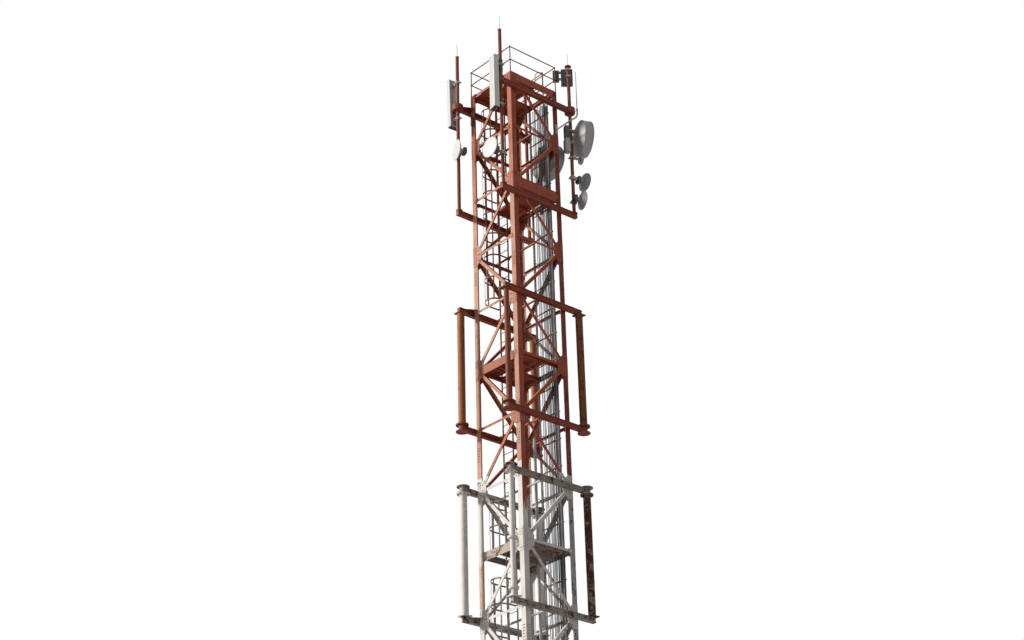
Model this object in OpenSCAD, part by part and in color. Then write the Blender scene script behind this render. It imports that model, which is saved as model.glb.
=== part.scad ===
// Lattice antenna tower of angle steel, in millimetres, +Z up.
// The origin is the centre of the near foot plate's underside.
// Near, right, back and left name the four corner legs in turn around the tower.

/* [Shaft] */
// Width of the straight shaft over its corner legs
shaft_w = 1900; // [1860:10:1960]
// Height of one level of the shaft
bay_h = 1900; // [1880:10:1960]
// Levels in each half of the straight shaft
half_bays = 6;
// Flange width of a corner leg
leg_w = 180; // [160:5:200]
// Flange thickness of a corner leg
leg_t = 16; // [12:1:18]
// Height of the legs above the top level
leg_rise = 60;

/* [Base] */
// Height of one level of the spread base
base_bay_h = 3300; // [3000:50:3500]
// Levels in the spread base
base_bays = 4;
// Outward step of each face per base level
base_step = 300; // [250:10:340]
// Side of a square foot plate
foot_w = 500; // [460:10:560]
// Thickness of a foot plate
foot_t = 30;
// Distance between anchor bolts along each side of a foot plate
anchor_pitch = 380; // [360:5:400]
// Diameter of an anchor bolt hole
anchor_d = 36;
// Height of the stiffeners on a foot plate
stiffener_h = 260;

/* [Bracing] */
// Flange width of a shaft diagonal
diagonal_w = 100; // [80:5:105]
// Flange width of a shaft horizontal
horizontal_w = 75; // [60:5:80]
// Flange thickness of the bracing angles
bracing_t = 9;
// Flange width of a base diagonal
base_diagonal_w = 130;
// Flange width of a base horizontal
base_horizontal_w = 100;
// Thickness of gussets, cleats and seat plates
gusset_t = 12; // [10:1:16]
// Width of a shaft gusset
gusset_w = 380;
// Height of a shaft gusset
gusset_h = 680;
// Width of a cleat plate
cleat_w = 160;
// Height of a cleat plate
cleat_h = 130;
// Length of an inner splice angle
splice_l = 500;
// Flange width of an inner splice angle
splice_w = 140;

/* [Decks] */
// Thickness of a deck plate
deck_t = 8;
// Distance from the leg's outer face to a deck edge
deck_inset = 105;
// Depth of an ordinary deck's edge beam
deck_beam_h = 250;
// Depth of the upper and top decks' edge beam
deep_beam_h = 330;
// Flange width of a deck beam
deck_beam_w = 50;
// Height of the top railing
railing_h = 950;
// Diameter of the railing tubes
railing_d = 34;

/* [Ladder] */
// Distance between the ladder stiles
ladder_w = 420;
// Distance between rungs
rung_pitch = 300;
// Rung diameter
rung_d = 22;
// Distance between cage hoops
hoop_pitch = 950;
// Inside reach of the cage from the rungs
cage_reach = 680;
// Inside width of the cage
cage_w = 580;

/* [Cable run] */
// Width of the cable ladder
cable_ladder_w = 640;
// Distance between the cable ladder's rungs
cable_rung_pitch = 720;
// Diameter of the thick feeders
feeder_d = 48;
// Diameter of the thin feeders
thin_feeder_d = 28;
// Height of the cable ladder above the top deck
cable_rise = 900;

/* [Antenna carriers] */
// Depth of an antenna arm
arm_h = 160; // [140:5:180]
// Width of an antenna arm
arm_w = 130; // [125:5:140]
// Distance from the tower axis to a pipe along the arm
pipe_x = 1420; // [1380:10:1460]
// Length of an arm past its pipe
arm_past = 80;
// Diameter of a top pipe
top_pipe_d = 121;
// Height of the near top pipe above the top level
top_pipe_rise = 1330;
// Diameter of a middle or lower pipe
big_pipe_d = 219;
// Wall of the pipes
pipe_wall = 8;
// Diameter of a pipe flange
flange_d = 380;
// Thickness of a pipe flange
flange_t = 20;
// Side of a pipe's square end plate
end_plate_w = 300;

/* [Equipment] */
// Height of a panel antenna
panel_h = 1900;
// Width of a panel antenna
panel_w = 270;
// Depth of a panel antenna
panel_d = 190;
// Distance from a pipe's axis to the panel's front
panel_reach = 430;
// Diameter of the left and near dishes
dish_d = 700;
// Diameter of the two small right dishes
small_dish_d = 650;
// Diameter of the large right drum dish
drum_d = 1300;
// Diameter of the large back drum dish
back_drum_d = 1250;
// Depth of a drum's shroud
drum_depth = 420;

/* [Hidden] */
// One sub-part by its node name, or all of them
bite = 1;
fit_gap = 5;
steel_red = [0.66, 0.25, 0.16];
steel_white = [0.80, 0.78, 0.74];
steel_brown = [0.50, 0.30, 0.20];
radome_white = [0.90, 0.90, 0.88];
radio_grey = [0.30, 0.31, 0.32];
cable_black = [0.12, 0.12, 0.13];

// Shaft and base heights
half_w = shaft_w / 2;
shaft_bays = 2 * half_bays;
base_h = base_bays * base_bay_h;
top_z = base_h + shaft_bays * bay_h;
base_spread = base_bays * base_step;
base_half = half_w + base_spread;
base_tilt = atan(base_step / base_bay_h);
base_slope = base_bay_h / cos(base_tilt);

// The foot plate's centre lies under the leg's corner, a little inside
foot_in = 75;
axis_shift = base_half - foot_in;

// Seating of a level's bracing between two nodes
level_cut = 45;
base_cut = 48;

// Deck outline, the ladder's hatch and the cable slot, from the tower axis
deck_half = half_w - deck_inset;
deck_top = 40;
seat_half = half_w - leg_t;
ladder_x = -100;
ladder_y = 550;
stile_d = 50;
stile_t = 12;
ladder_back = ladder_x + stile_d / 2;
hatch_x = [-(deck_half - deck_beam_w), ladder_back + fit_gap];
hatch_y = [240, half_w];
lid_hatch_x = [-640, ladder_back + fit_gap];
lid_hatch_y = [280, 795];
slot_x = [deck_half - deck_beam_w - 155, deck_half - deck_beam_w];
slot_y = [-790, 400];
joist_y = [-380, 180];

// Cable ladder and feeders, from the tower axis
cable_stile = 30;
cable_x = slot_x[1] - cable_stile;
cable_y = -140;
feeder_x = slot_x[1] - 90;

// Arm and pipe places, from the tower axis and the top level
arm_y = half_w + gusset_t + arm_w / 2;
top_arm_drop = [500, 4275];
middle_arm_level = [4, 6];
lower_arm_level = [7, 9];
sleeve_d = top_pipe_d + 52;
sleeve_h = 260;
sleeve_gap = 1;
rod_d = 16;
rod_h = 500;
top_pipe_tops = [0, -60, -60, 80];

function level_z(k) = top_z - k * bay_h;

// Moves from the tower's axis to the part's origin
module at_axis() {
  translate([axis_shift, axis_shift, 0])
    children();
}

// Quarter turns take the near corner to right, back and left
module at_corner(turn) {
  at_axis()
    rotate([0, 0, 90 * turn])
      children();
}

// Equal angle section with its heel at the origin
module angle_section(w, t) {
  polygon([[0, 0], [w, 0], [w, t], [t, t], [t, w], [0, w]]);
}

// Angle bar between two points of a face, one flange in the face, one inwards
module angle_bar(from, to, w, t, turn_in, sink) {
  run = to - from;
  translate([from[0], -sink, from[1]])
    rotate([0, -atan2(run[1], run[0]), 0])
      rotate([90, 0, 90])
        linear_extrude(norm(run))
          translate([0, turn_in * w / 2])
            scale_section(turn_in)
              angle_section(w, t);
}

// The section as drawn, or turned so that its heel is at the other edge
module scale_section(turn_in) {
  if (turn_in < 0)
    children();
  else
    rotate([0, 0, -90])
      children();
}

// Leg of the straight shaft at the near corner
module shaft_leg() {
  translate([-half_w, -half_w, base_h])
    linear_extrude(shaft_bays * bay_h + leg_rise)
      angle_section(leg_w, leg_t);
  for (at = [3.4, 6.4, 9.4])
    translate([leg_t - bite - half_w, leg_t - bite - half_w, level_z(at) - splice_l / 2])
      linear_extrude(splice_l)
        angle_section(splice_w, gusset_t);
}

// Spread leg at the near corner: the same section, moved out towards the ground
module base_leg() {
  low = foot_t - bite;
  out_low = half_w + (base_h - low) * base_step / base_bay_h;
  section = [[0, 0], [leg_w, 0], [leg_w, leg_t], [leg_t, leg_t], [leg_t, leg_w], [0, leg_w]];
  ring_low = [for (p = section) [p[0] - out_low, p[1] - out_low, low]];
  ring_high = [for (p = section) [p[0] - half_w, p[1] - half_w, base_h]];
  walls = [for (i = [0:5]) [i, i + 6, (i + 1) % 6 + 6, (i + 1) % 6]];
  caps = [[0, 1, 2, 3], [0, 3, 4, 5], [9, 8, 7, 6], [11, 10, 9, 6]];
  polyhedron(points = concat(ring_low, ring_high), faces = concat(walls, caps));
  foot_plate();
}

// Foot plate with anchor holes and two stiffeners inside the leg's flanges
module foot_plate() {
  centre = foot_in - base_half;
  rib_y = leg_t + 70;
  difference() {
    translate([centre - foot_w / 2, centre - foot_w / 2, 0])
      cube([foot_w, foot_w, foot_t]);
    for (sx = [-1, 1], sy = [-1, 1])
      translate([centre + sx * anchor_pitch / 2, centre + sy * anchor_pitch / 2, -bite])
        cylinder(d = anchor_d, h = foot_t + 2 * bite, $fn = 24);
  }
  for (flip = [0, 1])
    translate([-base_half, -base_half, foot_t - bite])
      rotate([0, 0, 45])
        rotate([180 * flip, 0, 0])
          rotate([0, 0, -45])
            translate([0, 0, flip ? -stiffener_h : 0])
              stiffener(rib_y, flip);
}

// Vertical plate from a leg flange across the foot plate
module stiffener(at, flip) {
  reach = 170;
  low_x = leg_t + 6;
  translate([at, low_x, 0])
    rotate([90, 0, 90])
      linear_extrude(gusset_t)
        polygon(flip
          ? [[0, stiffener_h], [reach, stiffener_h], [reach, stiffener_h - 60], [30, 0], [22, 0]]
          : [[0, 0], [reach, 0], [reach, 60], [30, stiffener_h], [22, stiffener_h]]);
}

// Half width of a face at a distance below the group's first level
function face_half(start, step, pitch, down) = start + step * down / pitch;

// One face's bracing: count levels down from a first level, drawn in the face's plane
module face_bracing(turn, first, count, start, step, pitch, sizes, cut, has_last) {
  lead = turn % 2 == 0 ? -1 : 1;
  diag_w = sizes[0];
  bar_w = sizes[1];
  plate = [sizes[2], sizes[3]];
  top = cut[0];
  low = -count * pitch + cut[1];
  clear_w = leg_w + fit_gap;
  side = function (i) (first + i) % 2 == 0 ? lead : -lead;
  half = function (i) face_half(start, step, pitch, i * pitch);
  intersection() {
    union() {
      for (i = [0:count - 1])
        angle_bar([side(i) * (half(i) - leg_w / 2), -i * pitch],
          [side(i + 1) * (half(i + 1) - leg_w / 2), -(i + 1) * pitch],
          diag_w, bracing_t, -side(i), 2 * bite);
      for (i = [0:count - (has_last ? 0 : 1)])
        angle_bar([-half(i), -i * pitch], [half(i), -i * pitch], bar_w, bracing_t, 1, bite);
    }
    translate([0, 2 * diag_w, 0])
      rotate([90, 0, 0])
        linear_extrude(3 * diag_w)
          polygon([
            [-face_half(start, step, pitch, -top) + clear_w, top],
            [face_half(start, step, pitch, -top) - clear_w, top],
            [face_half(start, step, pitch, -low) - clear_w, low],
            [-face_half(start, step, pitch, -low) + clear_w, low]
          ]);
  }
  intersection() {
    rotate([90, 0, 0])
      linear_extrude(gusset_t)
        union() {
          for (i = [0:count]) {
            translate([0, -i * pitch])
              gusset_outline(side(i), half(i), step / pitch, plate);
            if (i < count || has_last)
              translate([-side(i) * (half(i) - leg_w) - cleat_w / 2, -i * pitch - cleat_h / 2])
                square([cleat_w, cleat_h]);
          }
        }
    translate([-2 * base_half, -2 * gusset_t, low])
      cube([4 * base_half, 4 * gusset_t, top - low]);
  }
}

// Gusset on one side of a face, with its inner corners cut back
module gusset_outline(side, half, lean, plate) {
  w = plate[0];
  h = plate[1];
  out_high = half - lean * h / 2 - fit_gap;
  out_low = half + lean * h / 2 - fit_gap;
  polygon([
    [side * out_high, h / 2], [side * (out_high - 0.5 * w), h / 2],
    [side * (half - w), 0.22 * h], [side * (half - w), -0.22 * h],
    [side * (out_low - 0.5 * w), -h / 2], [side * out_low, -h / 2]
  ]);
}

module upper_bracing(turn) {
  at_corner(turn)
    translate([0, -half_w, top_z])
      face_bracing(turn, 0, half_bays, half_w, 0, bay_h,
        [diagonal_w, horizontal_w, gusset_w, gusset_h], [leg_rise, level_cut], false);
}

module lower_bracing(turn) {
  at_corner(turn)
    translate([0, -half_w, level_z(half_bays)])
      face_bracing(turn, half_bays, half_bays, half_w, 0, bay_h,
        [diagonal_w, horizontal_w, gusset_w, gusset_h], [level_cut, -level_cut], true);
}

module base_bracing(turn) {
  at_corner(turn)
    translate([0, -half_w, base_h])
      rotate([-base_tilt, 0, 0])
        face_bracing(turn, shaft_bays, base_bays, half_w, base_step, base_slope,
          [base_diagonal_w, base_horizontal_w, 1.2 * gusset_w, 1.2 * gusset_h],
          [-base_cut, 80], false);
}

// Channel beam along +X, its web at y = 0 and its flanges towards +Y, hung from z = 0
module channel_beam(l, h) {
  rotate([90, 0, 90])
    linear_extrude(l)
      polygon([[0, -h], [deck_beam_w, -h], [deck_beam_w, -h + deck_t],
        [deck_t, -h + deck_t], [deck_t, -deck_t], [deck_beam_w, -deck_t], [deck_beam_w, 0], [0, 0]]);
}

// Work deck at a level: edge beams between the legs, joists, and a plate with its openings
module work_deck(level, beam_h, hatch_a, hatch_b, open_edge) {
  under = deck_top - deck_t + bite;
  at_axis()
    translate([0, 0, level_z(level)]) {
      difference() {
        translate([-deck_half, -deck_half, deck_top - deck_t])
          cube([2 * deck_half, 2 * deck_half, deck_t]);
        translate([hatch_a[0], hatch_b[0], 0])
          cube([hatch_a[1] - hatch_a[0], hatch_b[1] - hatch_b[0], 2 * deck_top]);
        translate([slot_x[0], slot_y[0], 0])
          cube([slot_x[1] - slot_x[0], slot_y[1] - slot_y[0], 2 * deck_top]);
      }
      for (turn = [0, 3])
        rotate([0, 0, 90 * turn])
          translate([-seat_half, -deck_half, under])
            channel_beam(2 * seat_half, beam_h);
      rotate([0, 0, 90])
        translate([-seat_half, -deck_half, under])
          channel_beam(2 * seat_half, beam_h);
      // The beam over the ladder side stops at the trimmer where the hatch is open
      rotate([0, 0, 180])
        translate([-seat_half, -deck_half, under])
          channel_beam(seat_half + (open_edge ? -ladder_back : seat_half), beam_h);
      // Trimmer behind the ladder
      translate([ladder_back, -(half_w - horizontal_w), under])
        trimmer(2 * (half_w - horizontal_w), beam_h);
      for (y = joist_y)
        translate([-deck_half + deck_t, y, under])
          channel_beam(2 * (deck_half - deck_t) - (deck_half - slot_x[0]), deck_beam_w * 2);
    }
}

// Flat-sided beam along +Y whose face is at x = 0
module trimmer(l, h) {
  translate([0, 0, -h / 2])
    cube([deck_beam_w, l, h / 2]);
}

module top_deck() {
  color(steel_red)
    work_deck(0, deep_beam_h, lid_hatch_x, lid_hatch_y, false);
}

module upper_deck() {
  color(steel_red)
    work_deck(2, deep_beam_h, hatch_x, hatch_y, true);
}

module middle_deck() {
  color(steel_red)
    work_deck(5, deck_beam_h, hatch_x, hatch_y, true);
}

module lower_deck() {
  color(steel_brown)
    work_deck(8, deck_beam_h, hatch_x, hatch_y, true);
}

// Tube between two points
module tube(from, to, d, sides) {
  run = to - from;
  flat = norm([run[0], run[1]]);
  translate(from)
    rotate([0, atan2(flat, run[2]), flat == 0 ? 0 : atan2(run[1], run[0])])
      cylinder(d = d, h = norm(run), $fn = sides);
}

module top_railing() {
  post = deck_half - railing_d;
  color(steel_red)
    at_axis()
      translate([0, 0, top_z + deck_top]) {
        for (turn = [0:3])
          rotate([0, 0, 90 * turn]) {
            tube([-post, -post, 0], [-post, -post, railing_h], railing_d, 8);
            for (z = [railing_h / 2, railing_h - railing_d / 2])
              tube([-post, -post, z], [post, -post, z], railing_d, 8);
          }
        for (x = [-post / 3, post / 3])
          tube([x, -post, 0], [x, -post, railing_h], railing_d, 8);
      }
}

// Flat bars of the climbing ladder, with its cross bars on the bracing
module ladder() {
  foot = foot_t;
  head = top_z + deck_top;
  color(steel_red)
    at_axis() {
      for (s = [-1, 1])
        translate([ladder_x - stile_d / 2, ladder_y + s * ladder_w / 2 - stile_t / 2, foot])
          cube([stile_d, stile_t, head - foot]);
      for (z = [foot + rung_pitch : rung_pitch : head - rung_pitch / 2])
        translate([ladder_x, ladder_y - ladder_w / 2, z])
          rotate([-90, 0, 0])
            cylinder(d = rung_d, h = ladder_w, $fn = 6);
      for (level = [1, 3, 4, 6, 7, 9, 10, 11, 12])
        translate([ladder_back - bite, 0, level_z(level) + horizontal_w / 2])
          cross_bar(half_w - bracing_t - fit_gap);
      for (level = [1:base_bays - 1])
        translate([ladder_back - bite, 0, base_h - level * base_bay_h + base_horizontal_w / 2 + 12])
          cross_bar(half_w + level * base_step - bracing_t - 3 * fit_gap);
    }
}

// Angle across the tower behind the ladder
module cross_bar(reach) {
  translate([0, reach, 0])
    rotate([90, 0, 0])
      linear_extrude(2 * reach)
        angle_section(deck_beam_w, deck_t);
}

// Hooped safety cage round the climbing way
module ladder_cage() {
  hoop_t = 8;
  strap_w = 40;
  r = cage_w / 2;
  mid_x = ladder_x - cage_reach + r;
  first = 2600 + foot_t;
  count = floor((top_z - deep_beam_h - first) / hoop_pitch);
  stile_out = ladder_w / 2 + stile_t / 2;
  color(steel_red)
    at_axis()
      translate([0, ladder_y, first]) {
        for (i = [0:count])
          translate([0, 0, i * hoop_pitch])
            linear_extrude(50)
              difference() {
                hoop_outline(mid_x, r + hoop_t, hoop_t);
                hoop_outline(mid_x, r, 0);
                translate([ladder_x - stile_d, -stile_out])
                  square([2 * stile_d, 2 * stile_out]);
              }
        for (a = [90:45:270])
          translate([mid_x, 0, 0])
            rotate([0, 0, a])
              translate([r - hoop_t, -strap_w / 2, 0])
                cube([hoop_t + bite, strap_w, count * hoop_pitch + 50]);
      }
}

// Horseshoe from the ladder's plane round the climber
module hoop_outline(mid_x, r, wall) {
  translate([mid_x, 0])
    circle(r = r, $fn = 24);
  translate([mid_x, -r])
    square([ladder_x + wall - mid_x, 2 * r]);
}

module cable_ladder() {
  head = top_z + deck_top + cable_rise;
  span = cable_ladder_w / 2;
  color(steel_brown)
    at_axis() {
      for (s = [-1, 1])
        translate([cable_x - cable_stile / 2, cable_y + s * span - cable_stile / 2, foot_t])
          cube([cable_stile, cable_stile, head - foot_t]);
      for (z = [foot_t + 400 : cable_rung_pitch : head - 100])
        translate([cable_x - 8, cable_y - span, z])
          cube([16, 2 * span, 30]);
      for (level = [1, 3, 4, 6, 7, 9, 10, 11, 12], s = [-1, 1])
        translate([cable_x, cable_y + s * span - cable_stile / 2, level_z(level) + horizontal_w / 2])
          cube([half_w - cable_x - bracing_t - fit_gap, cable_stile, deck_t]);
    }
}

// Feeders down the cable ladder: places along Y with diameters
thick_feeder_y = [-735, -680, -625, -570, -515];
thin_feeder_y = [-420, -380, -340, -290, -245, -160, -115, -20, 60, 110];
feeder_pipe_y = 320;
feeder_pipe_d = 90;

module feeder_cables() {
  head = top_z + deck_top;
  color(cable_black)
    at_axis() {
      for (i = [0:len(thick_feeder_y) - 1])
        feeder(thick_feeder_y[i], feeder_d, head + 350 - 60 * (i % 2));
      for (i = [0:len(thin_feeder_y) - 1])
        feeder(thin_feeder_y[i], thin_feeder_d, head + 500 + 110 * (i % 3));
      translate([feeder_x, feeder_pipe_y, foot_t])
        cylinder(d = feeder_pipe_d, h = level_z(half_bays) - foot_t, $fn = 12);
    }
}

// One feeder: straight up the tower, then over towards the deck
module feeder(y, d, head) {
  bend = 220;
  translate([feeder_x, y, foot_t])
    cylinder(d = d, h = head - foot_t, $fn = 8);
  translate([feeder_x - bend, y, head - bite])
    rotate([90, 0, 0])
      rotate_extrude(angle = 180, $fn = 24)
        translate([bend, 0])
          circle(d = d, $fn = 8);
  translate([feeder_x - 2 * bend, y, top_z + deck_top])
    cylinder(d = d, h = head - top_z - deck_top, $fn = 8);
}

// Arm section: two channels back to back, so a shallow groove runs along each side
module arm_section() {
  groove = 14;
  lip = 34;
  polygon([
    [-arm_w / 2, -arm_h / 2], [arm_w / 2, -arm_h / 2], [arm_w / 2, lip - arm_h / 2],
    [arm_w / 2 - groove, lip - arm_h / 2], [arm_w / 2 - groove, arm_h / 2 - lip],
    [arm_w / 2, arm_h / 2 - lip], [arm_w / 2, arm_h / 2], [-arm_w / 2, arm_h / 2],
    [-arm_w / 2, arm_h / 2 - lip], [groove - arm_w / 2, arm_h / 2 - lip],
    [groove - arm_w / 2, lip - arm_h / 2], [-arm_w / 2, lip - arm_h / 2]
  ]);
}

// Arm on the outside of two legs, its centre at a height
module arm(side, z) {
  end = pipe_x + arm_past;
  translate([-end, side * arm_y, z])
    rotate([90, 0, 90])
      linear_extrude(2 * end)
        arm_section();
}

// Seat plates that bolt an arm to the legs where no gusset is
module arm_seats(side, z) {
  seat_h = 240;
  for (s = [-1, 1])
    translate([s * (half_w - leg_w / 2) - leg_w / 2 + fit_gap,
        side > 0 ? half_w : -half_w - gusset_t - bite, z - seat_h / 2])
      cube([leg_w - 2 * fit_gap, gusset_t + bite, seat_h]);
}

// Three-cornered plate from an arm to the side of the leg
module arm_knee(side, z, seat) {
  for (s = [-1, 1])
    translate([0, 0, z + arm_h / 2 - gusset_t])
      linear_extrude(gusset_t)
        polygon([
          [s * (half_w + seat), side * (arm_y - arm_w / 2 + bite)],
          [s * (pipe_x - 130), side * (arm_y - arm_w / 2 + bite)],
          [s * (pipe_x - 130), side * (arm_y - arm_w / 2)],
          [s * (half_w + seat), side * (half_w - leg_w)]
        ]);
}

// Stub pipe with a flange above and below an arm's end
module arm_stub(side, z) {
  for (s = [-1, 1])
    translate([s * pipe_x, side * arm_y, z - arm_h / 2 - flange_t - 10]) {
      cylinder(d = big_pipe_d, h = arm_h + 2 * flange_t + 20, $fn = 24);
      cylinder(d = flange_d, h = flange_t, $fn = 32);
      translate([0, 0, arm_h + flange_t + 20])
        cylinder(d = flange_d, h = flange_t, $fn = 32);
    }
}

// Top tier: pipes pass through sleeves in the upper arms and stand on the lower arms
module top_arms() {
  color(steel_red)
    at_axis()
      for (side = [-1, 1]) {
        difference() {
          union() {
            arm(side, top_z - top_arm_drop[0]);
            for (s = [-1, 1])
              translate([s * pipe_x, side * arm_y, top_z - top_arm_drop[0] - sleeve_h / 2])
                cylinder(d = sleeve_d, h = sleeve_h, $fn = 24);
          }
          for (s = [-1, 1])
            translate([s * pipe_x, side * arm_y, top_z - top_arm_drop[0] - sleeve_h])
              cylinder(d = top_pipe_d + 2 * sleeve_gap, h = 2 * sleeve_h, $fn = 24);
        }
        arm_seats(side, top_z - top_arm_drop[0]);
        arm_knee(side, top_z - top_arm_drop[0], 0);
        arm(side, top_z - top_arm_drop[1]);
        arm_seats(side, top_z - top_arm_drop[1]);
      }
}

module middle_arms() {
  color(steel_red)
    at_axis()
      for (side = [-1, 1]) {
        arm(side, level_z(middle_arm_level[0]));
        arm_knee(side, level_z(middle_arm_level[0]), gusset_t);
        arm(side, level_z(middle_arm_level[1]));
        arm_stub(side, level_z(middle_arm_level[1]));
      }
}

module lower_arms() {
  color(steel_white)
    at_axis()
      for (side = [-1, 1]) {
        arm(side, level_z(lower_arm_level[0]));
        arm_stub(side, level_z(lower_arm_level[0]));
        arm_knee(side, level_z(lower_arm_level[1]), gusset_t);
        arm(side, level_z(lower_arm_level[1]));
      }
}

// Pipe with a bore
module pipe(d, h) {
  difference() {
    cylinder(d = d, h = h, $fn = 24);
    translate([0, 0, -bite])
      cylinder(d = d - 2 * pipe_wall, h = h + 2 * bite, $fn = 24);
  }
}

// Top pipes with caps and lightning rods, corner by corner as near, right, back, left
module top_pipes() {
  low = top_z - top_arm_drop[1] + arm_h / 2;
  color(steel_red)
    at_axis()
      for (i = [0:3])
        translate([(i == 1 || i == 2 ? 1 : -1) * pipe_x, (i > 1 ? 1 : -1) * arm_y, low]) {
          h = top_pipe_rise + top_pipe_tops[i] + top_z - low;
          pipe(top_pipe_d, h);
          translate([0, 0, h - bite])
            cylinder(d = top_pipe_d + 12, h = 10, $fn = 24);
          translate([0, 0, h])
            cylinder(d = rod_d, h = rod_h, $fn = 8);
        }
}

// Middle pipes: end plate under the upper arm, flange on the stub below
module middle_pipes() {
  head = level_z(middle_arm_level[0]) - arm_h / 2;
  low = level_z(middle_arm_level[1]) + arm_h / 2 + flange_t + 10;
  color(steel_brown)
    at_axis()
      for (s = [-1, 1], side = [-1, 1])
        translate([s * pipe_x, side * arm_y, low]) {
          pipe(big_pipe_d, head - low);
          cylinder(d = flange_d, h = flange_t, $fn = 32);
          translate([-end_plate_w / 2, -end_plate_w / 2, head - low - flange_t])
            cube([end_plate_w, end_plate_w, flange_t]);
        }
}

// Lower pipes: flange under the stub, end plate on the lower arm
module lower_pipes() {
  head = level_z(lower_arm_level[0]) - arm_h / 2 - flange_t - 10;
  low = level_z(lower_arm_level[1]) + arm_h / 2;
  color(steel_white)
    at_axis()
      for (s = [-1, 1], side = [-1, 1])
        translate([s * pipe_x, side * arm_y, low]) {
          pipe(big_pipe_d, head - low);
          translate([0, 0, head - low - flange_t])
            cylinder(d = flange_d, h = flange_t, $fn = 32);
          translate([-end_plate_w / 2, -end_plate_w / 2, 0])
            cube([end_plate_w, end_plate_w, flange_t]);
        }
}

// Moves to a corner pipe's axis at a height and turns +X to a heading
module at_pipe(sx, sy, heading, z) {
  at_axis()
    translate([sx * pipe_x, sy * arm_y, top_z + z])
      rotate([0, 0, heading])
        children();
}

// Clamp round a pipe of the top tier, with its back block towards +X
module pipe_clamp(h) {
  block = 50;
  r = top_pipe_d / 2 + sleeve_gap;
  difference() {
    union() {
      cylinder(r = r + 14, h = h, $fn = 24);
      translate([0, -block, 0])
        cube([r + 30, 2 * block, h]);
    }
    translate([0, 0, -bite])
      cylinder(r = r, h = h + 2 * bite, $fn = 24);
  }
}

// Panel antenna: long radome with a rounded front, end caps, feed sockets and two brackets
module panel_antenna() {
  back = panel_reach - panel_d;
  translate([0, 0, 0])
    linear_extrude(panel_h)
      panel_outline(0);
  for (z = [-12, panel_h - 28])
    translate([0, 0, z])
      linear_extrude(40)
        panel_outline(4);
  for (y = [-0.3, -0.1, 0.1, 0.3])
    translate([back + panel_d / 2, y * panel_w, -60])
      cylinder(d = 32, h = 60, $fn = 12);
  for (z = [170, panel_h - 250]) {
    translate([0, 0, z])
      pipe_clamp(80);
    translate([top_pipe_d / 2 + 20, -30, z + 10])
      cube([back - top_pipe_d / 2 - 10, 60, 60]);
    translate([back - 30, -70, z - 10])
      cube([30 + bite, 140, 100]);
  }
}

// Outline of the radome: flat back, sides, and an arched front
module panel_outline(grow) {
  back = panel_reach - panel_d;
  r = panel_w * 0.62;
  intersection() {
    translate([back - grow, -panel_w / 2 - grow])
      square([panel_d + 2 * grow, panel_w + 2 * grow]);
    translate([panel_reach + grow - r, 0])
      circle(r = r, $fn = 48);
  }
  translate([back - grow, -panel_w / 2 - grow])
    square([panel_d * 0.55, panel_w + 2 * grow]);
}

module left_panel_antenna() {
  color(radome_white)
    at_pipe(-1, 1, 161, -1350)
      panel_antenna();
}

module near_panel_antenna() {
  color(radome_white)
    at_pipe(-1, -1, 180, -1600)
      panel_antenna();
}

// Bowl dish facing +X: its rim's plane at x = 0, a domed radome in front
module bowl_dish(d, depth) {
  r = d / 2;
  rotate([0, 90, 0])
    rotate_extrude($fn = 40)
      polygon([
        [0, 46], [0.45 * r, 38], [0.8 * r, 20], [r - 4, 0], [r, -12], [r, -44],
        [r - 14, -52], [0.78 * r, -0.52 * depth], [0.5 * r, -0.82 * depth],
        [0.24 * r, -depth], [0, -depth]
      ]);
}

// Radio unit behind a dish with ribs on its far side
module dish_radio(w, h, l) {
  ribs = 5;
  translate([0, -w / 2, -h / 2])
    cube([l, w, h]);
  for (i = [0:ribs - 1])
    translate([-24, -w / 2 + (i + 0.5) * w / ribs - 5, -h / 2 + 15])
      cube([24 + bite, 10, h - 30]);
}

// Dish with its radio and the arm to its pipe; forward and aside place the rim's centre
module pipe_dish(d, depth, forward, aside) {
  back = forward - depth;
  hub_r = 70;
  radio_l = 90;
  translate([forward, aside, 0])
    bowl_dish(d, depth);
  translate([back - 60, aside, 0])
    rotate([0, 90, 0])
      cylinder(r = hub_r, h = 60 + bite, $fn = 24);
  translate([0, 0, -60])
    pipe_clamp(120);
  if (abs(aside) > 150) {
    // The radio sits beside the pipe, so the arm runs across to it
    translate([back - 60 - radio_l + bite, aside, 0])
      dish_radio(200, 240, radio_l);
    translate([back - 120, top_pipe_d / 2 + 2, -25])
      cube([50, aside - 100 - top_pipe_d / 2, 50]);
  } else {
    translate([top_pipe_d / 2 + 20, -30, -40])
      cube([max(back - 60 - top_pipe_d / 2 - 20 + bite, 10), 60, 80]);
    translate([back - 40, aside - 40, 60])
      dish_radio(180, 160, 38);
  }
}

module left_dish() {
  color(radome_white)
    at_pipe(-1, 1, 159.5, -2260)
      pipe_dish(dish_d, 200, 230, 328);
}

module near_dish() {
  color(radome_white)
    at_pipe(-1, -1, 175.3, -2990)
      pipe_dish(dish_d, 200, 488, -87);
}

module upper_right_dish() {
  color(radome_white)
    at_pipe(1, -1, -24.3, -3010)
      pipe_dish(small_dish_d, 190, 400, -18);
}

module lower_right_dish() {
  color(radome_white)
    at_pipe(1, -1, -41.6, -3700)
      pipe_dish(small_dish_d, 170, 320, -47);
}

// Drum dish facing +X: shroud, flat skin in a rim, bowl behind
module drum_dish(d, depth) {
  r = d / 2;
  rotate([0, 90, 0])
    rotate_extrude($fn = 48)
      polygon([
        [0, depth + 40], [0.5 * r, depth + 32], [0.86 * r, depth + 12], [r, depth],
        [r + 8, depth], [r + 8, depth - 40], [r, depth - 44], [r, 90], [r - 20, 70],
        [0.72 * r, 20], [0.42 * r, -30], [0.24 * r, -52], [0, -52]
      ]);
}

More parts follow.
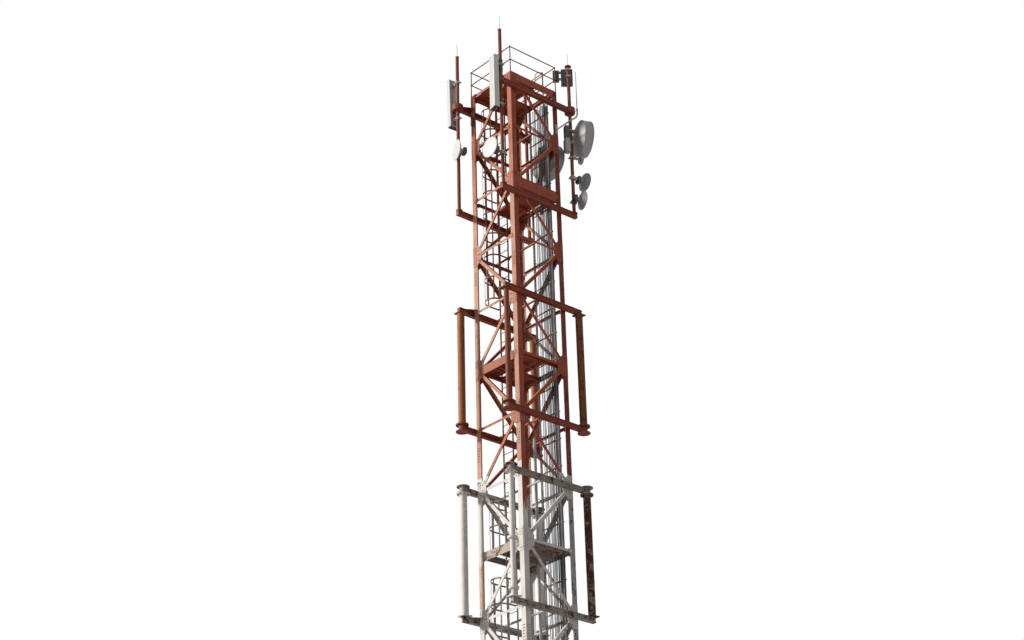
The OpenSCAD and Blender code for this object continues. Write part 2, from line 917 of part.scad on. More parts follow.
module large_right_dish() {
  color(radome_white)
    at_pipe(1, -1, -24.3, -1460) {
      translate([165, 0, 0])
        drum_dish(drum_d, drum_depth);
      for (z = [-260, 180]) {
        translate([0, 0, z])
          pipe_clamp(80);
        translate([top_pipe_d / 2 + 20, -40, z])
          cube([160, 80, 80]);
      }
    }
}

// Back drum dish on a pipe of its own, clamped to two horizontals of the right rear face
module large_back_dish() {
  stub_d = 89;
  stub_x = half_w + 24 + stub_d / 2;
  drum_off = 92;
  place_y = -300;
  low = level_z(2) - 100;
  high = level_z(1) + 100;
  color(radome_white)
    at_axis()
      translate([0, place_y, 0]) {
        translate([stub_x, 0, low])
          cylinder(d = stub_d, h = high - low, $fn = 20);
        for (level = [1, 2])
          translate([half_w + bite, -70, level_z(level) - 45])
            cube([24, 140, 90]);
        translate([stub_x + drum_off, 0, top_z - 2210]) {
          drum_dish(back_drum_d, drum_depth);
          for (z = [-200, 130])
            translate([-drum_off, -35, z])
              cube([drum_off + 60, 70, 70]);
        }
      }
}

// Radio boxes at the right pipe's head
module right_radio_units() {
  box_w = 450;
  color(radio_grey)
    at_axis()
      translate([0, 0, top_z]) {
        difference() {
          union() {
            translate([pipe_x - 75 - box_w, -arm_y - 280, 400])
              cube([box_w, 190, 600]);
            for (i = [0:8])
              translate([pipe_x - 55 - box_w + i * 50, -arm_y - 310, 430])
                cube([12, 30 + bite, 540]);
            translate([pipe_x - 130, -arm_y - 100, 480])
              cube([150, 80, 60]);
            translate([pipe_x - 130, -arm_y - 100, 860])
              cube([150, 80, 60]);
            for (z = [480, 860])
              translate([pipe_x, -arm_y, z])
                cylinder(d = top_pipe_d + 40, h = 60, $fn = 24);
          }
          translate([pipe_x, -arm_y, 300])
            cylinder(d = top_pipe_d + 2 * sleeve_gap, h = 900, $fn = 24);
        }
      }
}

// Whip antenna on a bent tube from the right leg
module whip_antenna() {
  arm_z = top_z - 1220;
  out = 850;
  bend = 90;
  tube_d = 42;
  foot_x = half_w - 60;
  color(steel_red)
    at_axis()
      translate([foot_x, -half_w, arm_z]) {
        translate([-50, -gusset_t, -70])
          cube([100, gusset_t, 140]);
        translate([0, -gusset_t + bite, 0])
          rotate([90, 0, 0])
            cylinder(d = tube_d, h = out - bend - gusset_t + 2 * bite, $fn = 12);
        translate([0, bend - out, bend])
          rotate([90, 0, 90])
            rotate([0, 0, 180])
              rotate_extrude(angle = 90, $fn = 24)
                translate([bend, 0])
                  circle(d = tube_d, $fn = 12);
        translate([0, -out, bend - bite])
          cylinder(d = tube_d, h = 160, $fn = 12);
        translate([0, -out, bend + 150])
          cylinder(d = 30, h = 1390, $fn = 12);
      }
}

module leg_near() { color(steel_red) at_corner(0) shaft_leg(); }
module leg_right() { color(steel_red) at_corner(1) shaft_leg(); }
module leg_back() { color(steel_red) at_corner(2) shaft_leg(); }
module leg_left() { color(steel_red) at_corner(3) shaft_leg(); }
module base_leg_near() { color(steel_red) at_corner(0) base_leg(); }
module base_leg_right() { color(steel_red) at_corner(1) base_leg(); }
module base_leg_back() { color(steel_red) at_corner(2) base_leg(); }
module base_leg_left() { color(steel_red) at_corner(3) base_leg(); }
module upper_bracing_right_front() { color(steel_red) upper_bracing(0); }
module upper_bracing_right_rear() { color(steel_red) upper_bracing(1); }
module upper_bracing_left_rear() { color(steel_red) upper_bracing(2); }
module upper_bracing_left_front() { color(steel_red) upper_bracing(3); }
module lower_bracing_right_front() { color(steel_white) lower_bracing(0); }
module lower_bracing_right_rear() { color(steel_white) lower_bracing(1); }
module lower_bracing_left_rear() { color(steel_white) lower_bracing(2); }
module lower_bracing_left_front() { color(steel_white) lower_bracing(3); }
module base_bracing_right_front() { color(steel_red) base_bracing(0); }
module base_bracing_right_rear() { color(steel_red) base_bracing(1); }
module base_bracing_left_rear() { color(steel_red) base_bracing(2); }
module base_bracing_left_front() { color(steel_red) base_bracing(3); }

leg_near();
leg_left();
leg_right();
leg_back();
base_leg_near();
base_leg_left();
base_leg_right();
base_leg_back();
upper_bracing_right_front();
upper_bracing_left_front();
upper_bracing_left_rear();
upper_bracing_right_rear();
lower_bracing_right_front();
lower_bracing_left_front();
lower_bracing_left_rear();
lower_bracing_right_rear();
base_bracing_right_front();
base_bracing_left_front();
base_bracing_left_rear();
base_bracing_right_rear();
top_deck();
upper_deck();
middle_deck();
lower_deck();
top_railing();
ladder();
ladder_cage();
cable_ladder();
feeder_cables();
top_arms();
middle_arms();
lower_arms();
top_pipes();
middle_pipes();
lower_pipes();
left_panel_antenna();
near_panel_antenna();
left_dish();
near_dish();
large_right_dish();
upper_right_dish();
lower_right_dish();
large_back_dish();
right_radio_units();
whip_antenna();
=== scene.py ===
"""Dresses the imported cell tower: weathered paint, bolts, fittings, camera, floor and light.

Lengths are in metres, in the row's frame: the origin is the centre of the near foot
plate's underside, and the tower's own axis stands at x = y = 2.075.
"""
import logging
import math
from dataclasses import dataclass
from enum import Enum
from functools import cached_property
from typing import Optional, Sequence, Union

import bpy
import numpy as np
from mathutils import Matrix
from numpy.typing import ArrayLike


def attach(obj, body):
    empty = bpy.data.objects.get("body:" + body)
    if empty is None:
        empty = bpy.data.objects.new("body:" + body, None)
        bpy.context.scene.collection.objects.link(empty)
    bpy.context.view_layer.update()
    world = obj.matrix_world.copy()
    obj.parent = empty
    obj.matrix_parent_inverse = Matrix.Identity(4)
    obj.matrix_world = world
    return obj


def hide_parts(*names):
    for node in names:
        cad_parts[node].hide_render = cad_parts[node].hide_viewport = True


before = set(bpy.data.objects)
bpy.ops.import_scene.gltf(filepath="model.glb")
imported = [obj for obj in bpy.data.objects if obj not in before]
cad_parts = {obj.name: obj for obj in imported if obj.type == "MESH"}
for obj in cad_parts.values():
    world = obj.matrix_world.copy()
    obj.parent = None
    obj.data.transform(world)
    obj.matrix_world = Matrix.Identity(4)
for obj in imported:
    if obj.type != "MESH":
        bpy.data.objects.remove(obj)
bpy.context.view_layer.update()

log = logging.getLogger("tower")
Material = bpy.types.Material
Colour = tuple[float, float, float, float]
Array = np.ndarray
Point = Union[Sequence[float], Array]

# The shaft: its axis, half its width, its top level, a bay's height and its faces in turn.
AXIS = np.array([2.075, 2.075, 0.0])
HALF = 0.95
TOP_Z = 36.0
BAY = 1.9
FACES = ("right_front", "right_rear", "left_rear", "left_front")

# Where the paint changes from red to white, where the base begins and how far it spreads.
BAND_Z = 23.1
BASE_Z = 13.2
BASE_SPREAD = 1.2

# The gussets' thickness and outer side, and the arms and the pipes that they carry.
GUSSET_T = 0.012
GUSSET_OUT = HALF + GUSSET_T
ARM_Z = (35.5, 31.725, 28.4, 24.6, 22.7, 18.9)
ARM_Y = 1.027
ARM_HALF = 0.08
PIPE_X = 1.42

UP = (0, 0, 1)


class Value:
    """An output socket with Python's operators: a number, a colour or a shader."""

    def __init__(self, tree: "NodeTree", socket: bpy.types.NodeSocket) -> None:
        """Wraps a socket.

        Args:
            tree: The tree that the socket is in.
            socket: The output socket.
        """
        self.tree = tree
        self.socket = socket

    def _math(self, kind: str, first: "Number", second: "Number") -> "Value":
        """Adds a Math node for one operation on two numbers or values."""
        return self.tree.value("ShaderNodeMath", {0: first, 1: second}, operation=kind)

    def __add__(self, other: "Number") -> "Value":
        """Sum."""
        return self._math("ADD", self, other)

    __radd__ = __add__

    def __sub__(self, other: "Number") -> "Value":
        """Difference."""
        return self._math("SUBTRACT", self, other)

    def __rsub__(self, other: "Number") -> "Value":
        """Difference with the number first."""
        return self._math("SUBTRACT", other, self)

    def __mul__(self, other: "Number") -> "Value":
        """Product."""
        return self._math("MULTIPLY", self, other)

    __rmul__ = __mul__

    def most(self, other: "Number") -> "Value":
        """The larger of two."""
        return self._math("MAXIMUM", self, other)

    def between(self, low: float, high: float) -> "Value":
        """Rises smoothly from 0 at low to 1 at high, with low above high for a fall."""
        return self.tree.value("ShaderNodeMapRange",
                               {"Value": self, "From Min": low, "From Max": high},
                               interpolation_type="SMOOTHSTEP")

    def within(self, low: float, high: float, edge: float) -> "Value":
        """Is 1 between two levels, with an edge inside each that rises or falls smoothly."""
        return self.between(low, low + edge) * (1.0 - self.between(high - edge, high))


Number = Union[Value, float]


class NodeTree:
    """A node tree, emptied, with one method that adds any node."""

    def __init__(self, tree: bpy.types.NodeTree) -> None:
        """Takes a tree and clears it."""
        self.tree = tree
        tree.nodes.clear()

    def fill(self, node: bpy.types.Node, sockets: dict) -> None:
        """Fills input sockets.

        Args:
            node: The node.
            sockets: By name or number, a value to link or a plain number or colour to set.
        """
        for name, value in sockets.items():
            if isinstance(value, Value):
                self.tree.links.new(value.socket, node.inputs[name])
            else:
                node.inputs[name].default_value = value

    def node(self, kind: str, sockets: Optional[dict] = None,
             **settings: str) -> bpy.types.Node:
        """Adds one node.

        Args:
            kind: The node's type.
            sockets: Numbers, colours or values for its input sockets.
            settings: Its properties, set before the sockets are filled.

        Returns:
            The new node.
        """
        made = self.tree.nodes.new(kind)
        for name, setting in settings.items():
            setattr(made, name, setting)
        self.fill(made, sockets or {})
        return made

    def value(self, kind: str, sockets: Optional[dict] = None,
              output: Union[int, str] = 0, **settings: str) -> Value:
        """Adds one node, and gives one of its outputs."""
        return Value(self, self.node(kind, sockets, **settings).outputs[output])


class ShaderTree(NodeTree):
    """A material's node tree, with the few calls that the finishes need."""

    def __init__(self, name: str) -> None:
        """Makes an empty material with a Principled shader.

        Args:
            name: The material's name.
        """
        self.material = bpy.data.materials.new(name)
        self.material.use_nodes = True
        super().__init__(self.material.node_tree)
        self.shader = self.node("ShaderNodeBsdfPrincipled")
        self.node("ShaderNodeOutputMaterial", {"Surface": Value(self, self.shader.outputs[0])})
        self.place = self.value("ShaderNodeTexCoord", output="Object")

    def height(self) -> Value:
        """Object Z, in metres above the ground."""
        return self.value("ShaderNodeSeparateXYZ", {0: self.place}, 2)

    def facing(self, axis: int) -> Value:
        """One component of the surface's normal in the object's frame."""
        normal = self.value("ShaderNodeNewGeometry", output="Normal")
        return self.value("ShaderNodeSeparateXYZ", {0: normal}, axis)

    def noise(self, scale: float, detail: float = 3.0, rough: float = 0.55,
              place: Optional[Value] = None) -> Value:
        """Cloudy noise from 0 to 1, with features about one over scale metres wide."""
        return self.value("ShaderNodeTexNoise", {
            "Vector": place or self.place, "Scale": scale, "Detail": detail,
            "Roughness": rough}, noise_dimensions="3D")

    def streaks(self, across: float, along: float) -> Value:
        """Noise at one scale in X and Y and at another along Z."""
        place = self.value("ShaderNodeMapping",
                           {"Vector": self.place, "Scale": (across, across, along)})
        return self.noise(1.0, 4.0, 0.6, place)

    def mix(self, factor: Number, first: Union[Value, Colour],
            second: Union[Value, Colour]) -> Value:
        """Blends two colours by a factor."""
        return self.value("ShaderNodeMix", {0: factor, 6: first, 7: second}, 2,
                          data_type="RGBA", blend_type="MIX")

    def bump(self, height: Value, strength: float, distance: float) -> Value:
        """A bumped normal from a height."""
        return self.value("ShaderNodeBump", {
            "Height": height, "Strength": strength, "Distance": distance})

    def finish(self, **sockets: Union[Number, Colour]) -> Material:
        """Fills the shader's sockets.

        Args:
            sockets: Values, numbers or colours by the socket's name, with _ for a space.

        Returns:
            The finished material.
        """
        self.fill(self.shader, {name.replace("_", " "): value
                                for name, value in sockets.items()})
        return self.material


class PaintTree(ShaderTree):
    """A tree with the noises that the masks of old tower paint share."""

    def __init__(self, name: str) -> None:
        """Adds the noises, the shade between a coat's tones, and the sun's side, which also carries
        painted light.

        Args:
            name: The material's name.
        """
        super().__init__(name)
        self.slow = self.noise(0.9)
        self.patch = self.noise(5.0, 5.0, 0.6)
        self.fine = self.noise(38.0, 4.0, 0.65)
        self.runs = self.streaks(24.0, 1.3)
        self.shade = (self.slow * 0.5 + self.patch * 0.35 + self.fine * 0.15).between(0.34, 0.66)
        # The faces turned to -X, where the key lamp shines, get a paler, warmer tone: sun fading
        # and painted light in one.
        self.faded_lit_side = self.facing(0).between(-0.25, -0.80)


def rgb(red: float, green: float, blue: float) -> Colour:
    """A plain opaque colour."""
    return (red, green, blue, 1.0)


def grey(level: float) -> Colour:
    """A neutral colour of one level."""
    return rgb(level, level, level)


RUST_DARK = rgb(0.085, 0.030, 0.018)
RUST_WARM = rgb(0.26, 0.095, 0.038)
SOOT = rgb(0.035, 0.022, 0.022)
# Pale chalked red, laid only on the faces turned to the key lamp: chalking and painted light.
CHALKED_AND_LIT = rgb(0.60, 0.36, 0.26)
UNDERCOAT = rgb(0.58, 0.27, 0.15)


class Coat(Enum):
    """Which coat a piece wears: by height on the frame, or one all over."""

    BY_HEIGHT = "by_height"
    RED = "red"
    WHITE = "white"
    BROWN = "brown"
    KHAKI = "khaki"


# Each coat's deep and pale tone, and a paler, warmer one for the faces turned to the key lamp,
# which is partly painted light.
TONES: dict[Coat, tuple[Colour, Colour, Colour]] = {
    Coat.RED: (rgb(0.26, 0.045, 0.026), rgb(0.38, 0.085, 0.045), rgb(0.50, 0.19, 0.115)),
    Coat.WHITE: (rgb(0.50, 0.46, 0.44), rgb(0.70, 0.66, 0.63), rgb(0.80, 0.755, 0.715)),
    Coat.BROWN: (rgb(0.15, 0.048, 0.026), rgb(0.28, 0.095, 0.042), rgb(0.42, 0.155, 0.065)),
    Coat.KHAKI: (rgb(0.20, 0.17, 0.145), rgb(0.40, 0.355, 0.31), rgb(0.55, 0.50, 0.45)),
}
TONES[Coat.BY_HEIGHT] = TONES[Coat.RED]


@dataclass(frozen=True)
class TowerPaint:
    """Old two-colour tower paint over steel: fading, chips, rust specks and runs, with painted
    light on the side the key lamp lights.

    Args:
        name: The material's name.
        coat: Which coat it wears.
        rust: Share of rust, from 0 to 1.
        runs: How strongly rust runs down the piece.
        tone: Factor on the coat's colours.
        change_z: Height where the red top band meets the white band.
        chalk: How far the red has turned pale below the upper deck, on the sun's side, partly as
            painted light.
        lag: How much further down the red reaches on a face turned to -Y.
        bare_z: Heights between which the white is worn to the undercoat.
        soot: How much black dirt lies in the rust.
    """

    name: str
    coat: Coat = Coat.BY_HEIGHT
    rust: float = 0.35
    runs: float = 0.5
    tone: float = 1.0
    change_z: float = BAND_Z
    chalk: float = 0.0
    lag: float = 0.0
    bare_z: Optional[tuple[float, float]] = None
    soot: float = 0.0

    def coated(self, tree: PaintTree, coat: Coat) -> Value:
        """One coat's colour: two tones by the shade, and a paler one on the sun's side, partly
        painted light.
        """
        deep, pale, faded_lit = (rgb(*(part * self.tone for part in tone[:3]))
                             for tone in TONES[coat])
        # The paler tone on the side the key lamp lights is partly painted light.
        return tree.mix(tree.faded_lit_side * (0.45 + 0.55 * tree.shade),
                        tree.mix(tree.shade, deep, pale), faded_lit)

    def painted(self, tree: PaintTree) -> Value:
        """The paint's colour, with the white band by height, the bare parts, and the chalked parts
        that are partly painted light.

        Args:
            tree: The material's tree.

        Returns:
            The colour, before rust.
        """
        colour = self.coated(tree, self.coat)
        if self.chalk:
            below = 1.0 - tree.height().between(31.0, 33.5)
            # Pale chalked red on the key lamp's side below the top: partly painted light.
            colour = tree.mix(tree.faded_lit_side * below * (0.35 + 0.65 * tree.shade) * self.chalk,
                              colour, CHALKED_AND_LIT)
        if self.coat is Coat.BY_HEIGHT:
            z = tree.height() + (tree.patch - 0.5) * 0.12
            if self.lag:
                z = z + tree.facing(1).between(-0.5, -0.8) * (0.3 + 1.4 * tree.runs) * self.lag
            band = z.within(BASE_Z - 0.01, self.change_z + 0.01, 0.02)
            colour = tree.mix(band, colour, self.coated(tree, Coat.WHITE))
        if self.bare_z:
            z = tree.height() + (tree.runs - 0.5) * 1.2
            colour = tree.mix(z.within(*self.bare_z, 0.3) * (0.25 + 0.75 * tree.shade),
                              colour, UNDERCOAT)
        return colour

    def material(self) -> Material:
        """Builds the material.

        Rust is where a middle and a fine noise together pass a level, plus narrow runs
        from a noise stretched along Z.

        Returns:
            The material.
        """
        tree = PaintTree(self.name)
        patch, fine = tree.patch, tree.fine
        colour = self.painted(tree)
        level = 0.74 - 0.34 * self.rust
        blot = (patch * 0.62 + fine * 0.38 + (tree.slow - 0.5) * 0.25).between(
            level, level + 0.08)
        run = (tree.runs * 0.75 + patch * 0.25).between(0.66 - 0.16 * self.runs, 0.80)
        rusty = blot.most(run * self.runs)
        rust = tree.mix(fine.between(0.35, 0.65) * (1.0 - self.soot), RUST_DARK, RUST_WARM)
        if self.soot:
            rust = tree.mix(patch.between(0.40, 0.60) * self.soot, rust, SOOT)
        return tree.finish(
            Base_Color=tree.mix(rusty, colour, rust), Specular_IOR_Level=0.14,
            Roughness=0.52 + 0.34 * rusty + (fine - 0.5) * 0.12,
            Normal=tree.bump(fine * 0.6 + patch * 0.4 - rusty * 0.5, 0.35, 0.004))


@dataclass(frozen=True)
class Shell:
    """Weathered pale plastic, such as a radome: a smooth skin with dust and rain streaks.

    Args:
        name: The material's name.
        colour: The clean skin.
        dirt: The dust.
        amount: How far the dust covers the skin.
    """

    name: str
    colour: Colour
    dirt: Colour = rgb(0.42, 0.38, 0.33)
    amount: float = 0.4

    def material(self) -> Material:
        """Builds the material: the colour, with dirt in streaks along Z and in clouds.

        Returns:
            The material.
        """
        tree = ShaderTree(self.name)
        cloud, streak, fine = tree.noise(2.2, 4.0), tree.streaks(26.0, 1.6), tree.noise(60.0)
        mask = (cloud * 0.5 + streak * 0.5).between(0.46, 0.74) * self.amount
        return tree.finish(
            Base_Color=tree.mix(mask, self.colour, self.dirt),
            Roughness=0.45 + 0.25 * mask + (fine - 0.5) * 0.06,
            Normal=tree.bump(fine, 0.12, 0.001))


@dataclass(frozen=True)
class Metal:
    """Bare or dull-painted metal fittings with tarnish and rust specks.

    Args:
        name: The material's name.
        colour: The clean metal.
        stain: The tarnish or rust.
        metallic: How metallic the clean metal is.
        rough: Its roughness.
        stained: Share of stain, from 0 to 1.
        scale: Scale of the stains.
    """

    name: str
    colour: Colour
    stain: Colour
    metallic: float
    rough: float
    stained: float
    scale: float = 24.0

    def material(self) -> Material:
        """Builds the material: stain where a middle and a fine noise pass a level.

        Returns:
            The material.
        """
        tree = ShaderTree(self.name)
        cloud, fine = tree.noise(self.scale, 5.0, 0.6), tree.noise(self.scale * 5.0)
        mask = (cloud * 0.7 + fine * 0.3).between(0.62 - 0.25 * self.stained, 0.72)
        return tree.finish(
            Base_Color=tree.mix(mask, self.colour, self.stain),
            Metallic=(1.0 - mask) * self.metallic,
            Roughness=self.rough + 0.3 * mask + (fine - 0.5) * 0.1,
            Normal=tree.bump(cloud * 0.5 + fine * 0.5, 0.3, 0.002))


@dataclass(frozen=True)
class Jacket:
    """Cable jacket: black or grey rubber, chalky from the sun, with fine scuffs.

    Args:
        name: The material's name.
        colour: The clean jacket.
        chalk: The chalky parts.
    """

    name: str
    colour: Colour
    chalk: Colour

    def material(self) -> Material:
        """Builds the material: chalk in long streaks along the cable.

        Returns:
            The material.
        """
        tree = ShaderTree(self.name)
        streak, fine = tree.streaks(60.0, 1.5), tree.noise(90.0)
        mask = (streak * 0.7 + fine * 0.3).between(0.42, 0.66)
        return tree.finish(
            Base_Color=tree.mix(mask, self.colour, self.chalk), Roughness=0.5 + 0.3 * mask,
            Normal=tree.bump(fine, 0.2, 0.001))


class Finish(Enum):
    """Every finish on the tower. One that begins a CAD node's name is for that node."""

    LEG = TowerPaint("leg_paint", rust=0.30, runs=0.45, chalk=0.9)
    LEG_NEAR = TowerPaint("near_leg_paint", rust=0.36, runs=0.65, chalk=0.8, lag=1.4)
    LEG_RIGHT = TowerPaint("right_leg_paint", rust=0.62, runs=0.8, tone=0.56, soot=0.5)
    LEG_LEFT = TowerPaint("left_leg_paint", rust=0.30, runs=0.40, chalk=1.0,
                          bare_z=(18.9, 20.7))
    BASE_LEG = TowerPaint("base_leg_paint", Coat.RED, rust=0.35, runs=0.4)
    UPPER_BRACING = TowerPaint("upper_bracing_paint", Coat.RED, rust=0.30, runs=0.25, chalk=0.7)
    LOWER_BRACING = TowerPaint("lower_bracing_paint", rust=0.55, runs=0.6, change_z=23.08)
    BASE_BRACING = TowerPaint("base_bracing_paint", Coat.RED, rust=0.35, runs=0.3)
    TOP_DECK = TowerPaint("top_deck_paint", Coat.RED, rust=0.25, runs=0.2, tone=1.12)
    UPPER_DECK = TowerPaint("upper_deck_paint", Coat.RED, rust=0.30, runs=0.2, tone=1.12)
    MIDDLE_DECK = TowerPaint("middle_deck_paint", Coat.RED, rust=0.40, runs=0.3, tone=0.95)
    LOWER_DECK = TowerPaint("lower_deck_paint", Coat.KHAKI, rust=0.70, runs=0.5)
    RAILING = TowerPaint("railing_paint", Coat.RED, rust=0.55, runs=0.3, tone=0.55)
    LADDER = TowerPaint("ladder_paint", rust=0.55, runs=0.4, tone=0.7)
    CAGE = TowerPaint("cage_paint", rust=0.6, runs=0.4, tone=0.65)
    CABLE_LADDER = TowerPaint("cable_ladder_paint", rust=0.7, runs=0.5, tone=0.6)
    TOP_ARMS = TowerPaint("top_arm_paint", Coat.RED, rust=0.40, runs=0.3, tone=0.72)
    MIDDLE_ARMS = TowerPaint("middle_arm_paint", Coat.RED, rust=0.50, runs=0.3, tone=0.66)
    LOWER_ARMS = TowerPaint("lower_arm_paint", Coat.KHAKI, rust=0.68, runs=0.55, soot=0.6)
    TOP_PIPES = TowerPaint("top_pipe_paint", Coat.RED, rust=0.5, runs=0.5, tone=0.66)
    MIDDLE_PIPES = TowerPaint("middle_pipe_paint", Coat.BROWN, rust=0.4, runs=0.6, tone=1.12)
    LOWER_PIPES = TowerPaint("lower_pipe_paint", Coat.WHITE, rust=0.42, runs=0.7, tone=1.1)
    RUSTY_PIPE = TowerPaint("rusty_pipe_paint", Coat.KHAKI, rust=0.95, runs=0.9, tone=0.8, soot=0.5)
    BROWN_PIPE = TowerPaint("brown_pipe_paint", Coat.BROWN, rust=0.7, runs=0.7, tone=0.75, soot=0.4)
    RED_PIPE = TowerPaint("red_pipe_paint", Coat.RED, rust=0.5, runs=0.5, tone=0.62)
    PANEL = Shell("panel_shell", rgb(0.64, 0.63, 0.60))
    DISH = Shell("dish_shell", rgb(0.68, 0.67, 0.66), amount=0.3)
    DRUM = Shell("drum_shell", rgb(0.40, 0.39, 0.40), rgb(0.22, 0.20, 0.19), amount=0.5)
    WHIP = Shell("whip_shell", rgb(0.62, 0.60, 0.58), amount=0.35)
    RADIO = Metal("radio_casing", rgb(0.075, 0.075, 0.08), rgb(0.035, 0.03, 0.028),
                  metallic=0.2, rough=0.6, stained=0.4, scale=8.0)
    GALVANISED = Metal("galvanised_steel", rgb(0.34, 0.33, 0.33), rgb(0.17, 0.10, 0.07),
                       metallic=0.35, rough=0.55, stained=0.4)
    SOCKET = Metal("socket_green", rgb(0.035, 0.075, 0.055), grey(0.03),
                   metallic=0.1, rough=0.5, stained=0.3)
    BOLT_RED = Metal("bolt_red", rgb(0.25, 0.085, 0.055), RUST_DARK,
                     metallic=0.1, rough=0.6, stained=0.6)
    BOLT_PALE = Metal("bolt_pale", rgb(0.44, 0.41, 0.38), RUST_WARM,
                      metallic=0.1, rough=0.6, stained=0.5)
    BOLT_WORN = Metal("bolt_worn", rgb(0.27, 0.19, 0.15), RUST_DARK,
                      metallic=0.3, rough=0.6, stained=0.7)
    FEEDER_DARK = Jacket("feeder_dark", rgb(0.030, 0.030, 0.034), rgb(0.11, 0.105, 0.10))
    FEEDER_GREY = Jacket("feeder_grey", rgb(0.075, 0.075, 0.085), rgb(0.17, 0.165, 0.175))
    FEEDER_PALE = Jacket("feeder_pale", rgb(0.30, 0.29, 0.30), rgb(0.46, 0.44, 0.44))
    CONDUIT = Jacket("conduit_grey", rgb(0.42, 0.42, 0.45), rgb(0.55, 0.54, 0.55))
    TAPE = Jacket("tape_wrap", rgb(0.035, 0.028, 0.028), rgb(0.09, 0.07, 0.065))

    @cached_property
    def material(self) -> Material:
        """The finish's material, built when it is first asked for."""
        return self.value.material()


def dress_nodes() -> None:
    """Gives each CAD node the finish with the longest name that begins its own."""
    for name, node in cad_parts.items():
        fitting = [finish for finish in Finish if name.startswith(finish.name.lower())]
        if fitting:
            node.data.materials.clear()
            node.data.materials.append(max(fitting, key=lambda finish: len(finish.name)).material)


class Corner(Enum):
    """The four corners, with the signs of X and Y from the tower's axis."""

    NEAR = (-1, -1)
    RIGHT = (1, -1)
    BACK = (1, 1)
    LEFT = (-1, 1)

    def place(self, x: float, y: float, z: float = 0.0) -> Array:
        """A point at the corner, at distances along X and Y from the tower's axis."""
        return np.array([self.value[0] * x, self.value[1] * y, z])

    def pipe(self, z: float = 0.0) -> Array:
        """A point on the axis of the corner's antenna pipe."""
        return self.place(PIPE_X, ARM_Y, z)


def level_z(level: float) -> float:
    """Height of a shaft level, counted down from the top one."""
    return TOP_Z - BAY * level


def turn_about_z(degrees: float) -> Array:
    """Rotation matrix about Z."""
    c, s = math.cos(math.radians(degrees)), math.sin(math.radians(degrees))
    return np.array([[c, -s, 0], [s, c, 0], [0, 0, 1]], float)


def tip_about_y(degrees: float) -> Array:
    """Rotation matrix about Y, which leans +Z towards +X."""
    c, s = math.cos(math.radians(degrees)), math.sin(math.radians(degrees))
    return np.array([[c, 0, s], [0, 1, 0], [-s, 0, c]], float)


def lean(angle: float) -> Array:
    """Rotation about X that leans a face's foot outwards by an angle in radians."""
    c, s = math.cos(angle), math.sin(angle)
    return np.array([[1, 0, 0], [0, c, s], [0, -s, c]], float)


def circle(radius: float, count: int, start: float = 0.0, upright: bool = False) -> Array:
    """Points spread evenly round a circle.

    Each is radius times cos t, sin t, at even steps of t.

    Args:
        radius: The circle's radius.
        count: How many points it has.
        start: Where t starts, in radians.
        upright: Whether the circle lies across X instead of across Z.

    Returns:
        The points, round the origin.
    """
    angle = np.arange(count) * 2 * math.pi / count + start
    points = np.stack([np.cos(angle), np.sin(angle), 0 * angle], -1) * radius
    return points[:, [2, 0, 1]] if upright else points


def barrel(radius: float, height: float, inset: float, edge: float) -> Array:
    """Profile of a bar with both rims bevelled, as rows of radius and height.

    Args:
        radius: Its radius.
        height: Its height.
        inset: How far the ends are drawn in.
        edge: How long each bevel is.

    Returns:
        The rows.
    """
    return np.array([(radius - inset, 0), (radius, edge), (radius, height - edge),
                     (radius - inset, height)])


def skin(rings: int, sides: int) -> tuple[Array, Array]:
    """Faces of a closed tube whose points run round each ring in turn.

    Args:
        rings: How many rings it has.
        sides: How many points each ring has.

    Returns:
        The side faces as fours, from each ring to the next, and the two end caps.
    """
    here = np.arange(sides)
    after = (here + 1) % sides
    step = (np.arange(rings - 1) * sides)[:, None]
    quads = np.stack([step + here, step + after, step + sides + after, step + sides + here], -1)
    return quads.reshape(-1, 4), np.stack([here + (rings - 1) * sides, here[::-1]])


def spun(points: ArrayLike, normals: ArrayLike, profile: ArrayLike,
         sides: int) -> tuple[Array, Array, Array]:
    """Turned pieces, one at each point, along each normal.

    A ring of points at each step of the profile is r cos t and r sin t across the
    normal, at the profile's height along it.

    Args:
        points: Where each piece stands.
        normals: Which way each points, or all of them, of length 1.
        profile: Rows of radius and height.
        sides: Sides of each ring.

    Returns:
        The vertices, the side faces as fours, and the cap rings at both ends.
    """
    points = np.atleast_2d(np.asarray(points, float))
    normals = np.broadcast_to(np.asarray(normals, float), points.shape)
    away = np.where(np.abs(normals[:, 2:]) > 0.9, [[1.0, 0, 0]], [[0, 0, 1.0]])
    first = np.cross(away, normals)
    first /= np.linalg.norm(first, axis=1, keepdims=True)
    second = np.cross(normals, first)
    angle = ((np.arange(sides) + 0.5) * 2 * math.pi / sides)[:, None]
    ring = np.cos(angle) * first[:, None] + np.sin(angle) * second[:, None]
    radius, height = np.asarray(profile, float).T
    verts = (points[:, None, None] + radius[:, None, None] * ring[:, None]
             + (height[:, None] * normals[:, None])[:, :, None])
    quads, caps = skin(len(radius), sides)
    base = np.arange(len(points))[:, None] * len(radius) * sides
    return (verts.reshape(-1, 3), (base[:, None] + quads).reshape(-1, 4),
            (base + caps[:, None]).reshape(-1, sides))


def placed(name: str, data: bpy.types.ID) -> bpy.types.Object:
    """Makes an object in the scene.

    Args:
        name: Its name.
        data: Its mesh, lamp or camera.

    Returns:
        The object.
    """
    made = bpy.data.objects.new(name, data)
    bpy.context.scene.collection.objects.link(made)
    return made


def axes(right: Array, up: Array, back: Array, place: Point = (0, 0, 0)) -> Matrix:
    """The matrix that turns and moves a lamp or a camera.

    Args:
        right: Which way its X points.
        up: Which way its Y points.
        back: Which way its Z points, against the way that it looks or shines.
        place: Where it stands.

    Returns:
        The matrix.
    """
    made = Matrix(np.stack([right, up, back], 1).tolist()).to_4x4()
    made.translation = place
    return made


# A bolt's head on its washer, as rows of radius and height in shares of half its width.
BOLT_PROFILE = np.array([[1.25, 0.0], [1.25, 0.22], [0.95, 0.24], [0.95, 1.0], [0.7, 1.12]])


